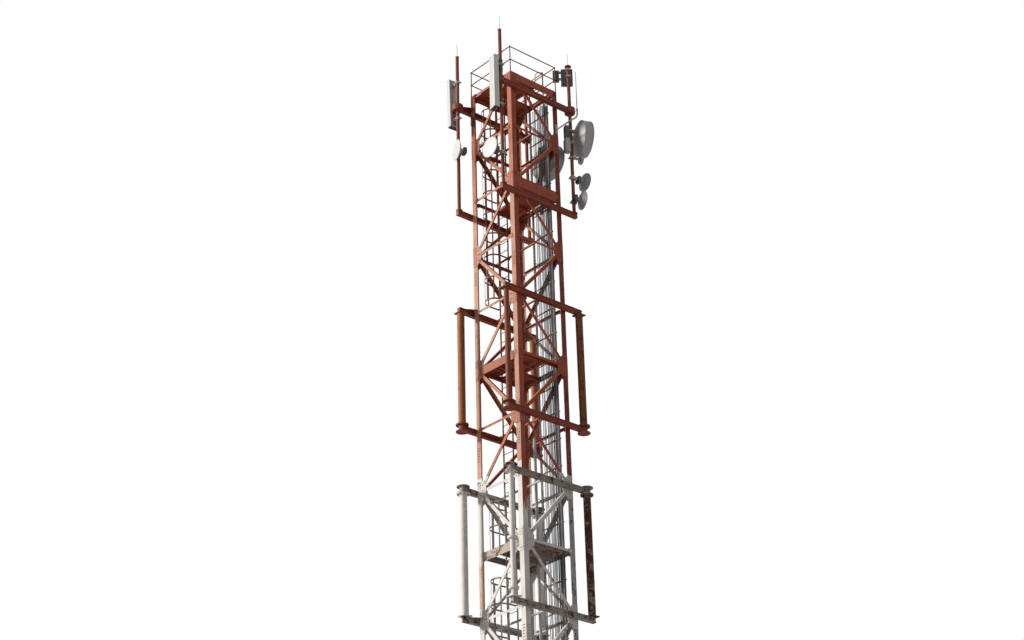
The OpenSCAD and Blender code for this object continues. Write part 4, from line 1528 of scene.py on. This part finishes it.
@dataclass(frozen=True)
class PipeTier:
    """A tier of thick pipes, with an end plate at one end and a flange at the other.

    Args:
        finish: The pipes' finish.
        levels: The levels of its arms.
        hung: Whether the flange is at the head, under a stub.
        own: Finishes of the pipes that have one of their own.
        radii: Radius of a pipe and of its flange.
        near_radii: The same for the near pipe.
        flange_t: Thickness of the flanges and plates.
        stub_gap: Gap between a flange and its arm.
        plate: Half the width of an end plate.
        weld: Size of the welds.
        rings: Heights of the near pipe's two collars above its foot.
    """

    finish: Finish
    levels: tuple[int, int]
    hung: bool
    own: tuple[tuple[Corner, Finish], ...]
    radii: tuple[float, float] = (0.1095, 0.19)
    near_radii: tuple[float, float] = (0.075, 0.17)
    flange_t: float = 0.02
    stub_gap: float = 0.01
    plate: float = 0.15
    weld: float = 0.018
    rings: tuple[float, float] = (0.215, 1.645)

    def build(self) -> None:
        """Makes the pipes with their end plates, flanges, welds and bolts."""
        t, own = self.flange_t, dict(self.own)
        gap = t + self.stub_gap
        low, head = level_z(self.levels[1]) + ARM_HALF, level_z(self.levels[0]) - ARM_HALF
        low, head = (low, head - gap) if self.hung else (low + gap, head)
        flange_z, plate_z = (head - t, low) if self.hung else (low, head - t)
        way = -1 if self.hung else 1
        form = Form(self.finish)
        for corner in Corner:
            near = corner is Corner.NEAR
            radius, flange = self.near_radii if near else self.radii
            paint = own.get(corner, self.finish)
            form.wear(paint).at(corner.pipe())
            form.tube((0, 0, low), (0, 0, head), radius, 32)
            form.disc(flange, t, (0, 0, flange_z), 36)
            form.block((-self.plate, -self.plate, plate_z), (self.plate, self.plate, plate_z + t))
            if near and self.hung:
                for z in self.rings:
                    form.turned(barrel(0.145, 0.07, 0.008, 0.008), (0, 0, low + z), sides=28)
            for z, out, ring in ((flange_z, way, circle(flange - 0.035, 8, 0.3)),
                                 (plate_z, -way, circle(self.plate * 1.15, 4, math.pi / 4))):
                face = (0, 0, z + t if out > 0 else z)
                form.wear(paint).turned([(radius + self.weld, 0), (radius - 0.002, self.weld)],
                                        face, (0, 0, out))
                form.wear(Finish.BOLT_WORN).studs(ring + face, (0, 0, out), 0.019)
        form.dressed(self.finish.name.lower())


@dataclass(frozen=True)
class PipeClamp:
    """A clamp round a top pipe, with its block towards the local X and two bolts.

    Args:
        low: Height of its foot, in a frame on the pipe's axis.
        height: How tall it is.
        radius: The band's radius.
        reach: How far the block reaches from the axis.
        half_w: Half the block's width.
        bolt_y: Distance of the bolts from the axis.
    """

    low: float
    height: float
    radius: float = 0.069
    reach: float = 0.085
    half_w: float = 0.05
    bolt_y: float = 0.072

    def add(self, form: Form) -> None:
        """Adds the band, the block, the plate behind and the two bolts with nuts.

        Args:
            form: The form to add them to.
        """
        low, high, rim = self.low, self.low + self.height, 0.1 * self.height
        middle, w, reach = low + self.height / 2, self.half_w, self.reach
        form.turned(barrel(self.radius, self.height, 0.003, 0.004), (0, 0, low), sides=24)
        form.block((0, -w, low), (reach, w, high))
        form.block((-reach, -w, low + rim), (-0.06, w, high - rim))
        for y in (-self.bolt_y, self.bolt_y):
            form.tube((-0.1, y, middle), (0.1, y, middle), 0.007, 8)
            for x in (-reach, reach):
                form.block((x - 0.012, y - 0.022, middle - 0.012),
                           (x + 0.012, y + 0.022, middle + 0.012))


@dataclass(frozen=True)
class PanelAntenna:
    """A flat box radome with end caps, sockets and two brackets.

    Args:
        node: The CAD node that it stands for.
        corner: The corner whose pipe carries it.
        heading: Which way it faces, in degrees.
        low: Height of its foot above the top level.
        height: Its height.
        off: Distance from the pipe's axis to its back, at the foot.
        tilt: Its forward tilt, in degrees.
        width: Its width.
        depth: Its depth.
        edge: Radius of its front edges.
        cap: Height of an end cap.
        sockets: Where its sockets are, as shares of its width from the middle.
    """

    node: str
    corner: Corner
    heading: float
    low: float
    height: float
    off: float
    tilt: float
    width: float = 0.315
    depth: float = 0.165
    edge: float = 0.022
    cap: float = 0.035
    sockets: tuple[float, ...] = (-0.3, -0.1, 0.1, 0.3)

    def outline(self, grow: float) -> Array:
        """Its level outline: a box whose front edges are quarter circles.

        Args:
            grow: How far the outline stands out from the radome's.

        Returns:
            The corners, as X and Y.
        """
        side, front, edge = self.width / 2 + grow, self.depth + grow, self.edge
        turn = np.radians(np.linspace(-90, 0, 5))
        right = np.stack([front - edge + edge * np.cos(turn),
                          edge - side + edge * np.sin(turn)], -1)
        return np.concatenate([[(-grow, -side)], right, right[::-1] * [1, -1], [(-grow, side)]])

    def build(self) -> None:
        """Makes the panel."""
        place = self.corner.pipe(TOP_Z + self.low)
        form = Form(Finish.PANEL)
        form.at(place + turn_about_z(self.heading) @ [self.off, 0, 0], self.heading, self.tilt)
        form.prism(self.outline(0), 0.03, self.height - 0.03)
        for low in (0, self.height - self.cap):
            form.prism(self.outline(0.003), low, low + self.cap)
        form.wear(Finish.GALVANISED).block((-0.006, -0.11, 0.06), (0.0, 0.11, self.height - 0.06))
        form.wear(Finish.SOCKET).prism(self.outline(-0.012), -0.018, 0.001)
        for share in self.sockets:
            form.turned([(0.012, -0.075), (0.016, -0.07), (0.016, -0.035), (0.020, -0.03),
                         (0.020, -0.012)], (self.depth / 2, share * self.width, 0), sides=12)
        form.at(place, self.heading).wear(Finish.GALVANISED)
        for z in (0.17, self.height - 0.25):
            back = self.off + math.tan(math.radians(self.tilt)) * z
            PipeClamp(z, 0.08).add(form)
            form.ribs((0.08, -0.035, z + 0.01), (back, -0.027, z + 0.07), 2, 0.062)
            form.block((back - 0.016, -0.07, z - 0.01), (back, 0.07, z + 0.09))
        form.dressed(self.node)


@dataclass(frozen=True)
class BowlDish:
    """A small dish with a flat skin, a bowl behind it, a hub and a ribbed radio.

    Args:
        node: The CAD node that it stands for.
        shell: The dish's finish.
        corner: The corner whose pipe carries it.
        heading: Which way it faces, in degrees.
        low: Height of its centre above the top level.
        radius: Its radius.
        forward: Distance from the pipe's axis to the rim's plane.
        aside: Distance of its centre to the left of that line.
        bowl: Depth of the bowl.
        rim: Depth of the rim.
        radio_h: Half the radio's height.
        radio_w: Half its width.
        arm: Half the thickness of the arm to the clamp.
    """

    node: str
    shell: Finish
    corner: Corner
    heading: float
    low: float
    radius: float
    forward: float
    aside: float
    bowl: float = 0.13
    rim: float = 0.026
    radio_h: float = 0.105
    radio_w: float = 0.095
    arm: float = 0.03

    def dish(self, form: Form) -> None:
        """Adds the bowl and the skin, with screws round the rim.

        The bowl is a parabola: its depth falls with the square of the radius.

        Args:
            form: The form to add it to.
        """
        r, rim = self.radius, self.rim
        t = np.linspace(0.03, 1.0, 14)
        rows = np.stack([t * r * 0.985, -rim - (self.bowl - rim) * (1 - t * t)], -1).tolist()
        rows += [(r, -rim), (r + 0.004, 0.004 - rim), (r + 0.004, -0.004), (r, 0.0),
                 (0.93 * r, 0.004), (0.6 * r, 0.011), (0.25 * r, 0.016), (0.01, 0.018)]
        form.turned(rows, (self.forward, self.aside, 0), (1, 0, 0), 48)
        form.wear(Finish.GALVANISED)
        form.studs(circle(r - 0.012, 16, upright=True) + [self.forward + 0.002, self.aside, 0],
                   (1, 0, 0), 0.005)

    def hub(self, form: Form, back: float) -> None:
        """Adds the hub with its bolts, and the radio with its ribs.

        Args:
            form: The form to add them to.
            back: Where the bowl's back is.
        """
        y = self.aside
        form.turned([(0.06, -0.09), (0.075, -0.082), (0.075, -0.03), (0.095, -0.02),
                     (0.095, 0.0), (0.06, 0.018)], (back, y, 0), (1, 0, 0), 28)
        form.studs(circle(0.085, 6, upright=True) + [back - 0.02, y, 0], (-1, 0, 0), 0.008)
        rear = back - 0.17
        form.wear(Finish.RADIO)
        form.block((rear, y - self.radio_w, -self.radio_h),
                   (rear + 0.08, y + self.radio_w, self.radio_h))
        form.ribs((rear - 0.024, y - 0.089, -0.09), (rear + 0.001, y - 0.081, 0.09), 7, 0.17 / 6)

    def build(self) -> None:
        """Makes the dish, with a straight arm to its clamp or one that reaches aside."""
        form = Form(self.shell).at(self.corner.pipe(TOP_Z + self.low), self.heading)
        back, w, grip = self.forward - self.bowl, self.arm, 0.059
        self.dish(form)
        self.hub(form, back)
        PipeClamp(-0.06, 0.12).add(form.wear(Finish.GALVANISED))
        if abs(self.aside) > grip + 0.075:
            near, far = sorted((math.copysign(grip, self.aside), self.aside))
            middle = back - 0.045
            form.block((middle - w, near, -w), (middle + w, far, w))
            low, high = (0.0, middle + w) if middle > 0 else (middle - w, 0.0)
            start, end = (near, near + 0.04) if self.aside > 0 else (far - 0.04, far)
            form.block((low, start, -w), (high, end, w))
        else:
            form.block((0.075, -w, -w), (back - 0.16, w, w))
        form.dressed(self.node)


@dataclass(frozen=True)
class Drum:
    """A drum dish facing the local X: a bowl, a shroud and a flat skin in a rim.

    Args:
        radius: The shroud's radius.
        centre: The centre of the shroud's back.
        depth: Its depth.
        rim: How far its rims stand out.
        bowl: Depth of the bowl behind it.
    """

    radius: float
    centre: tuple[float, float, float]
    depth: float = 0.29
    rim: float = 0.008
    bowl: float = 0.15

    def add(self, form: Form) -> None:
        """Adds the drum, with screws round its front rim.

        The bowl's depth falls with the radius to the power 2.2.

        Args:
            form: The form to add it to.
        """
        r, rim, depth = self.radius, self.radius + self.rim, self.depth
        t = np.linspace(0.03, 1.0, 16)
        rows = np.stack([t * r, -self.bowl * (1 - t ** 2.2)], -1).tolist()
        rows += [(rim, 0.0), (rim, 0.04), (r, 0.042), (r, depth - 0.044), (rim, depth - 0.04),
                 (rim, depth), (r, depth + 0.002), (0.86 * r, depth + 0.010),
                 (0.5 * r, depth + 0.026), (0.02, depth + 0.034)]
        form.wear(Finish.DRUM).turned(rows, self.centre, (1, 0, 0), 64)
        ring = circle(rim, 24, upright=True)
        form.wear(Finish.GALVANISED).studs(
            ring + self.centre + [depth - 0.02, 0, 0], ring / rim, 0.006)


@dataclass(frozen=True)
class RightDrum:
    """The right drum, with two radio boxes behind its pipe and a small drum below.

    Args:
        z: Height of its centre.
        heading: Which way it faces, in degrees.
        drum: The large drum.
        clamps: Heights of its clamps.
        small_z: Height of the small drum's centre.
        upper_box: Low and high corner of the upper radio box.
        lower_box: The same for the lower one.
    """

    z: float = TOP_Z - 1.45
    heading: float = -21.5
    drum: Drum = Drum(0.575, (0.265, 0, 0))
    clamps: tuple[float, float] = (-0.26, 0.18)
    small_z: float = -0.76
    upper_box: tuple[Point, Point] = ((-0.19, -0.075, -0.095), (-0.059, 0.075, 0.37))
    lower_box: tuple[Point, Point] = ((-0.20, -0.095, -0.58), (-0.059, 0.095, -0.10))

    def box(self, form: Form, corners: tuple[Point, Point], count: int, pitch: float) -> None:
        """Adds a radio box with upright ribs over its back.

        Args:
            form: The form to add it to.
            corners: Its low and high corner.
            count: How many ribs it has.
            pitch: From each rib to the next.
        """
        (x, y, foot), (_, _, head) = corners
        form.block(*corners)
        form.ribs((x - 0.022, y + 0.007, foot + 0.02), (x + 0.002, y + 0.013, head - 0.02),
                  count, pitch)

    def build(self) -> None:
        """Makes the drums, the boxes, the clamps and the bars between them."""
        form = Form(Finish.GALVANISED).at(Corner.RIGHT.pipe(self.z), self.heading)
        self.drum.add(form)
        for z in self.clamps:
            PipeClamp(z, 0.08).add(form)
            form.block((0.074, -0.045, z), (0.235, 0.045, z + 0.08))
        form.turned([(0.075, 0), (0.075, 0.05), (0.13, 0.075), (0.13, 0.14)],
                    (0.09, 0, 0), (1, 0, 0), 24)
        self.box(form.wear(Finish.RADIO), self.upper_box, 6, 0.025)
        self.box(form.wear(Finish.GALVANISED), self.lower_box, 7, 0.028)
        low, high = self.small_z - 0.03, self.small_z + 0.03
        PipeClamp(low, 0.06).add(form)
        form.block((0.074, -0.03, low), (0.261, 0.03, high))
        form.block((0.062, -0.012, self.small_z), (0.074, 0.012, -0.259))
        form.wear(Finish.DRUM).turned(
            [(0.15, 0), (0.165, 0.012), (0.165, 0.085), (0.15, 0.092), (0.01, 0.097)],
            (0.26, 0, self.small_z), (1, 0, 0), 36)
        form.dressed("large_right_dish")


@dataclass(frozen=True)
class BackDrum:
    """The back drum on its own pipe, clamped to two horizontals of the right rear face.

    Args:
        x: Where its pipe stands.
        y: The same along Y.
        z: Height of its centre.
        radius: The drum's radius.
        pipe_r: The pipe's radius.
        clamps: Heights of its clamps above the centre.
    """

    x: float = 1.0185
    y: float = -0.02
    z: float = TOP_Z - 1.91
    radius: float = 0.60
    pipe_r: float = 0.0445
    clamps: tuple[float, float] = (-0.2, 0.13)

    def build(self) -> None:
        """Makes the pipe, its seats, the clamps and the drum."""
        x, z = self.x, self.z
        form = Form(Finish.TOP_PIPES).at((0, self.y, 0))
        form.tube((x, 0, level_z(2) - 0.1), (x, 0, z + 0.4), self.pipe_r, 24)
        for level in (1, 2):
            form.block((HALF + 0.001, -0.07, level_z(level) - 0.045),
                       (HALF + 0.025, 0.07, level_z(level) + 0.045))
        form.wear(Finish.GALVANISED)
        for low in (z + clamp for clamp in self.clamps):
            form.block((x, -0.035, low), (x + 0.135, 0.035, low + 0.07))
            form.disc(0.056, 0.07, (x, 0, low), 24)
        form.turned([(0.08, 0), (0.08, 0.05), (0.13, 0.075), (0.13, 0.12)],
                    (x + 0.03, 0, z), (1, 0, 0), 24)
        Drum(self.radius, (x + 0.195, 0, z)).add(form)
        form.dressed("large_back_dish")


@dataclass(frozen=True)
class RadioUnits:
    """Two radio boxes on bars across the right pipe.

    Args:
        heading: Which way they face, in degrees.
        bars: Heights of the two bars above the top level.
        large: Low and high corner of the large box.
        small: Low and high corner of the small box.
        ports: Where the large box's ports are along Y.
    """

    heading: float = 48.0
    bars: tuple[float, float] = (0.77, 1.02)
    large: tuple[Point, Point] = ((0.1, -0.145, 0.605), (0.28, 0.225, 1.15))
    small: tuple[Point, Point] = ((0.1, 0.285, 0.74), (0.23, 0.485, 1.12))
    ports: tuple[float, ...] = (-0.1, -0.03, 0.04, 0.11, 0.18)

    def build(self) -> None:
        """Makes the bars, the boxes with their ribs, the ports and the eyes."""
        form = Form(Finish.GALVANISED).at(Corner.RIGHT.pipe(TOP_Z), self.heading)
        for z in self.bars:
            form.block((-0.075, -0.075, z), (0.101, 0.075, z + 0.06))
            form.block((0.1, 0.224, z), (0.16, 0.286, z + 0.06))
        form.wear(Finish.RADIO)
        form.block(*self.large)
        form.block(*self.small)
        form.ribs((0.278, -0.135, 0.63), (0.304, -0.128, 1.125), 11, 0.035)
        form.ribs((0.076, 0.285, 0.75), (0.101, 0.295, 1.11), 6, 0.038)
        form.block((0.11, -0.12, 1.149), (0.27, 0.2, 1.168))
        form.wear(Finish.GALVANISED)
        foot, head = self.large[0][2], self.large[1][2]
        for y in self.ports:
            form.turned([(0.013, -0.06), (0.017, -0.05), (0.017, 0.001)], (0.19, y, foot),
                        sides=12)
        for y in (-0.13, 0.2):
            form.disc(0.012, 0.05, (0.19, y, head), 10)
        form.dressed("right_radio_units")


@dataclass(frozen=True)
class WhipAntenna:
    """The whip antenna: a plate on the right leg, a bent tube and a slim rod.

    Args:
        place: Where the tube leaves the plate.
        out: How far out the rod stands.
        bend: Radius of the tube's bend.
        radius: The tube's radius.
    """

    place: tuple[float, float, float] = (HALF - 0.06, -HALF, TOP_Z - 1.345)
    out: float = 0.96
    bend: float = 0.09
    radius: float = 0.0275

    def build(self) -> None:
        """Makes the antenna.

        The bend is a quarter circle: sin t outwards and 1 - cos t upwards.
        """
        out, bend = self.out, self.bend
        form = Form(Finish.GALVANISED).at(self.place)
        form.block((-0.055, -0.012, -0.16), (0.055, 0, 0.16))
        arc = [(0, bend - out - bend * math.sin(t), bend - bend * math.cos(t))
               for t in np.linspace(0, math.pi / 2, 10)]
        form.hose([(0, -0.011, 0), *arc, (0, -out, bend + 0.17)], self.radius, 16)
        form.studs([(x, -0.012, z) for x in (-0.035, 0.035) for z in (-0.12, 0.12)],
                   (0, -1, 0), 0.012)
        form.turned([(0.033, 0), (0.036, 0.005), (0.036, 0.05), (0.024, 0.06)],
                    (0, -out, bend + 0.12), sides=16)
        form.wear(Finish.WHIP).turned(
            [(0.016, 0.16), (0.016, 0.9), (0.013, 1.0), (0.013, 1.53), (0.004, 1.55)],
            (0, -out, bend), sides=14)
        form.dressed("whip_antenna")


@dataclass(frozen=True)
class Sun:
    """A broad, soft sun lamp.

    Args:
        name: The lamp's name.
        towards: The way its light travels.
        strength: Its strength.
        spread: Its angle, in degrees, for soft shadows.
        colour: Its colour.
    """

    name: str
    towards: tuple[float, float, float]
    strength: float
    spread: float
    colour: tuple[float, float, float]

    def build(self) -> None:
        """Adds the lamp, which shines along its own -Z."""
        data = bpy.data.lights.new(self.name, "SUN")
        data.energy, data.color = self.strength, self.colour
        data.angle = math.radians(self.spread)
        back = -np.array(self.towards) / np.linalg.norm(self.towards)
        side = np.cross(UP, back)
        side /= np.linalg.norm(side)
        placed(self.name, data).matrix_world = axes(side, np.cross(back, side), back)


@dataclass(frozen=True)
class Studio:
    """Camera, floor, background and light.

    Args:
        eye: Where the camera stands, from the tower's axis.
        azimuth: Which way it looks, in degrees from Y towards -X.
        pitch: How far it looks up, in degrees.
        roll: How far it is turned about its line of sight, in degrees.
        focal_px: Its focal length, in pixels of the picture.
        image_w: The picture's width, in pixels.
        floor_r: The floor's radius.
        floor_z: Height of the floor, just under the foot plates.
        sky: The background's light on the tower.
        sky_strength: Its strength.
        suns: The lamps.
    """

    eye: tuple[float, float, float] = (-34.669, -38.741, 1.484)
    azimuth: float = -41.563
    pitch: float = 27.143
    roll: float = -1.562
    focal_px: float = 1980.0
    image_w: int = 1024
    floor_r: float = 260.0
    floor_z: float = -0.002
    sky: Colour = rgb(0.93, 0.96, 1.0)
    sky_strength: float = 0.15
    suns: tuple[Sun, ...] = (
        Sun("key", towards=(0.87, -0.60, -0.44), strength=3.3, spread=10.0,
            colour=(1.0, 0.96, 0.90)),
        Sun("rim", towards=(-0.35, 0.75, -0.55), strength=0.25, spread=40.0,
            colour=(0.92, 0.95, 1.0)))

    def camera(self) -> None:
        """Adds the camera at the photograph's viewing angle.

        It looks along forward, from the azimuth and the pitch. Right is level, and right
        and up are then turned by the roll.
        """
        azimuth, pitch, roll = np.radians([self.azimuth, self.pitch, self.roll])
        right = np.array([np.cos(azimuth), np.sin(azimuth), 0.0])
        forward = np.cos(pitch) * np.cross(UP, right) + np.sin(pitch) * np.array(UP)
        up = np.cross(right, forward)
        data = bpy.data.cameras.new("camera")
        data.lens = self.focal_px / self.image_w * data.sensor_width
        data.clip_end = 1000.0
        made = placed("camera", data)
        made.matrix_world = axes(np.cos(roll) * right + np.sin(roll) * up,
                                 np.cos(roll) * up - np.sin(roll) * right, -forward,
                                 self.eye + AXIS)
        bpy.context.scene.camera = made

    def floor(self) -> None:
        """Adds the pale floor, a wide level disc."""
        mesh = bpy.data.meshes.new("floor")
        mesh.from_pydata((circle(self.floor_r, 64) + AXIS + [0, 0, self.floor_z]).tolist(), [],
                         [list(range(64))])
        tree = ShaderTree("floor_finish")
        mesh.materials.append(tree.finish(
            Base_Color=tree.mix(tree.noise(0.4, 2.0), grey(0.80), grey(0.84)), Roughness=0.9))
        placed("floor", mesh)

    def world(self) -> None:
        """Makes a background that is white where it is seen, and softer as a light."""
        world = bpy.data.worlds.new("studio")
        bpy.context.scene.world = world
        world.use_nodes = True
        tree = NodeTree(world.node_tree)
        rays = tree.node("ShaderNodeLightPath")
        camera, glossy, through = (
            Value(tree, rays.outputs[f"Is {kind} Ray"])
            for kind in ("Camera", "Glossy", "Transmission"))
        fill, plain = (
            tree.value("ShaderNodeBackground", {"Color": colour, "Strength": strength})
            for colour, strength in ((self.sky, self.sky_strength), (grey(1.0), 1.0)))
        tree.node("ShaderNodeOutputWorld", {0: tree.value(
            "ShaderNodeMixShader", {0: camera.most(glossy).most(through), 1: fill, 2: plain})})

    def build(self) -> None:
        """Sets the colour management, camera, floor, background and lamps."""
        bpy.context.scene.view_settings.view_transform = "Standard"
        self.camera()
        self.floor()
        self.world()
        for sun in self.suns:
            sun.build()


SUB_ASSEMBLIES = (
    GussetBolts("upper", Finish.BOLT_RED, first=0, count=6),
    GussetBolts("lower", Finish.BOLT_PALE, first=6, count=6),
    GussetBolts("base", Finish.BOLT_RED, first=12, count=4, pitch=3.3136, gusset_h=0.816,
                step=BASE_SPREAD / 4, tilt=math.atan(BASE_SPREAD / BASE_Z)),
    *DECKS,
    Railing(),
    Cage(),
    CableRun(),
    SmallFittings(),
    ArmClamps(),
    TopPipes(),
    PipeTier(Finish.MIDDLE_PIPES, levels=(4, 6), hung=False,
             own=((Corner.RIGHT, Finish.BROWN_PIPE), (Corner.NEAR, Finish.RED_PIPE))),
    PipeTier(Finish.LOWER_PIPES, levels=(7, 9), hung=True,
             own=((Corner.RIGHT, Finish.RUSTY_PIPE),)),
    PanelAntenna("left_panel_antenna", Corner.LEFT, heading=85.0, low=-1.09, height=1.74,
                 off=0.175, tilt=1.7),
    PanelAntenna("near_panel_antenna", Corner.NEAR, heading=168.5, low=-1.61, height=1.86,
                 off=0.15, tilt=0.0),
    BowlDish("left_dish", Finish.DISH, Corner.LEFT, heading=161.5, low=-2.18, radius=0.325,
             forward=0.155, aside=0.21),
    BowlDish("near_dish", Finish.DISH, Corner.NEAR, heading=180.2, low=-3.111, radius=0.325,
             forward=0.50, aside=-0.011),
    BowlDish("upper_right_dish", Finish.DRUM, Corner.RIGHT, heading=-6.0, low=-2.932,
             radius=0.30, forward=0.49, aside=0.009),
    BowlDish("lower_right_dish", Finish.DRUM, Corner.RIGHT, heading=-15.6, low=-3.795,
             radius=0.30, forward=0.215, aside=-0.205),
    RightDrum(),
    BackDrum(),
    RadioUnits(),
    WhipAntenna(),
)


def main() -> None:
    """Builds and dresses everything, sub-assembly by sub-assembly."""
    logging.basicConfig(level=logging.INFO, format="%(name)s: %(message)s")
    Studio().build()
    for sub_assembly in SUB_ASSEMBLIES:
        log.info("building %s", type(sub_assembly).__name__)
        sub_assembly.build()
    dress_nodes()


if __name__ == "__main__":
    main()
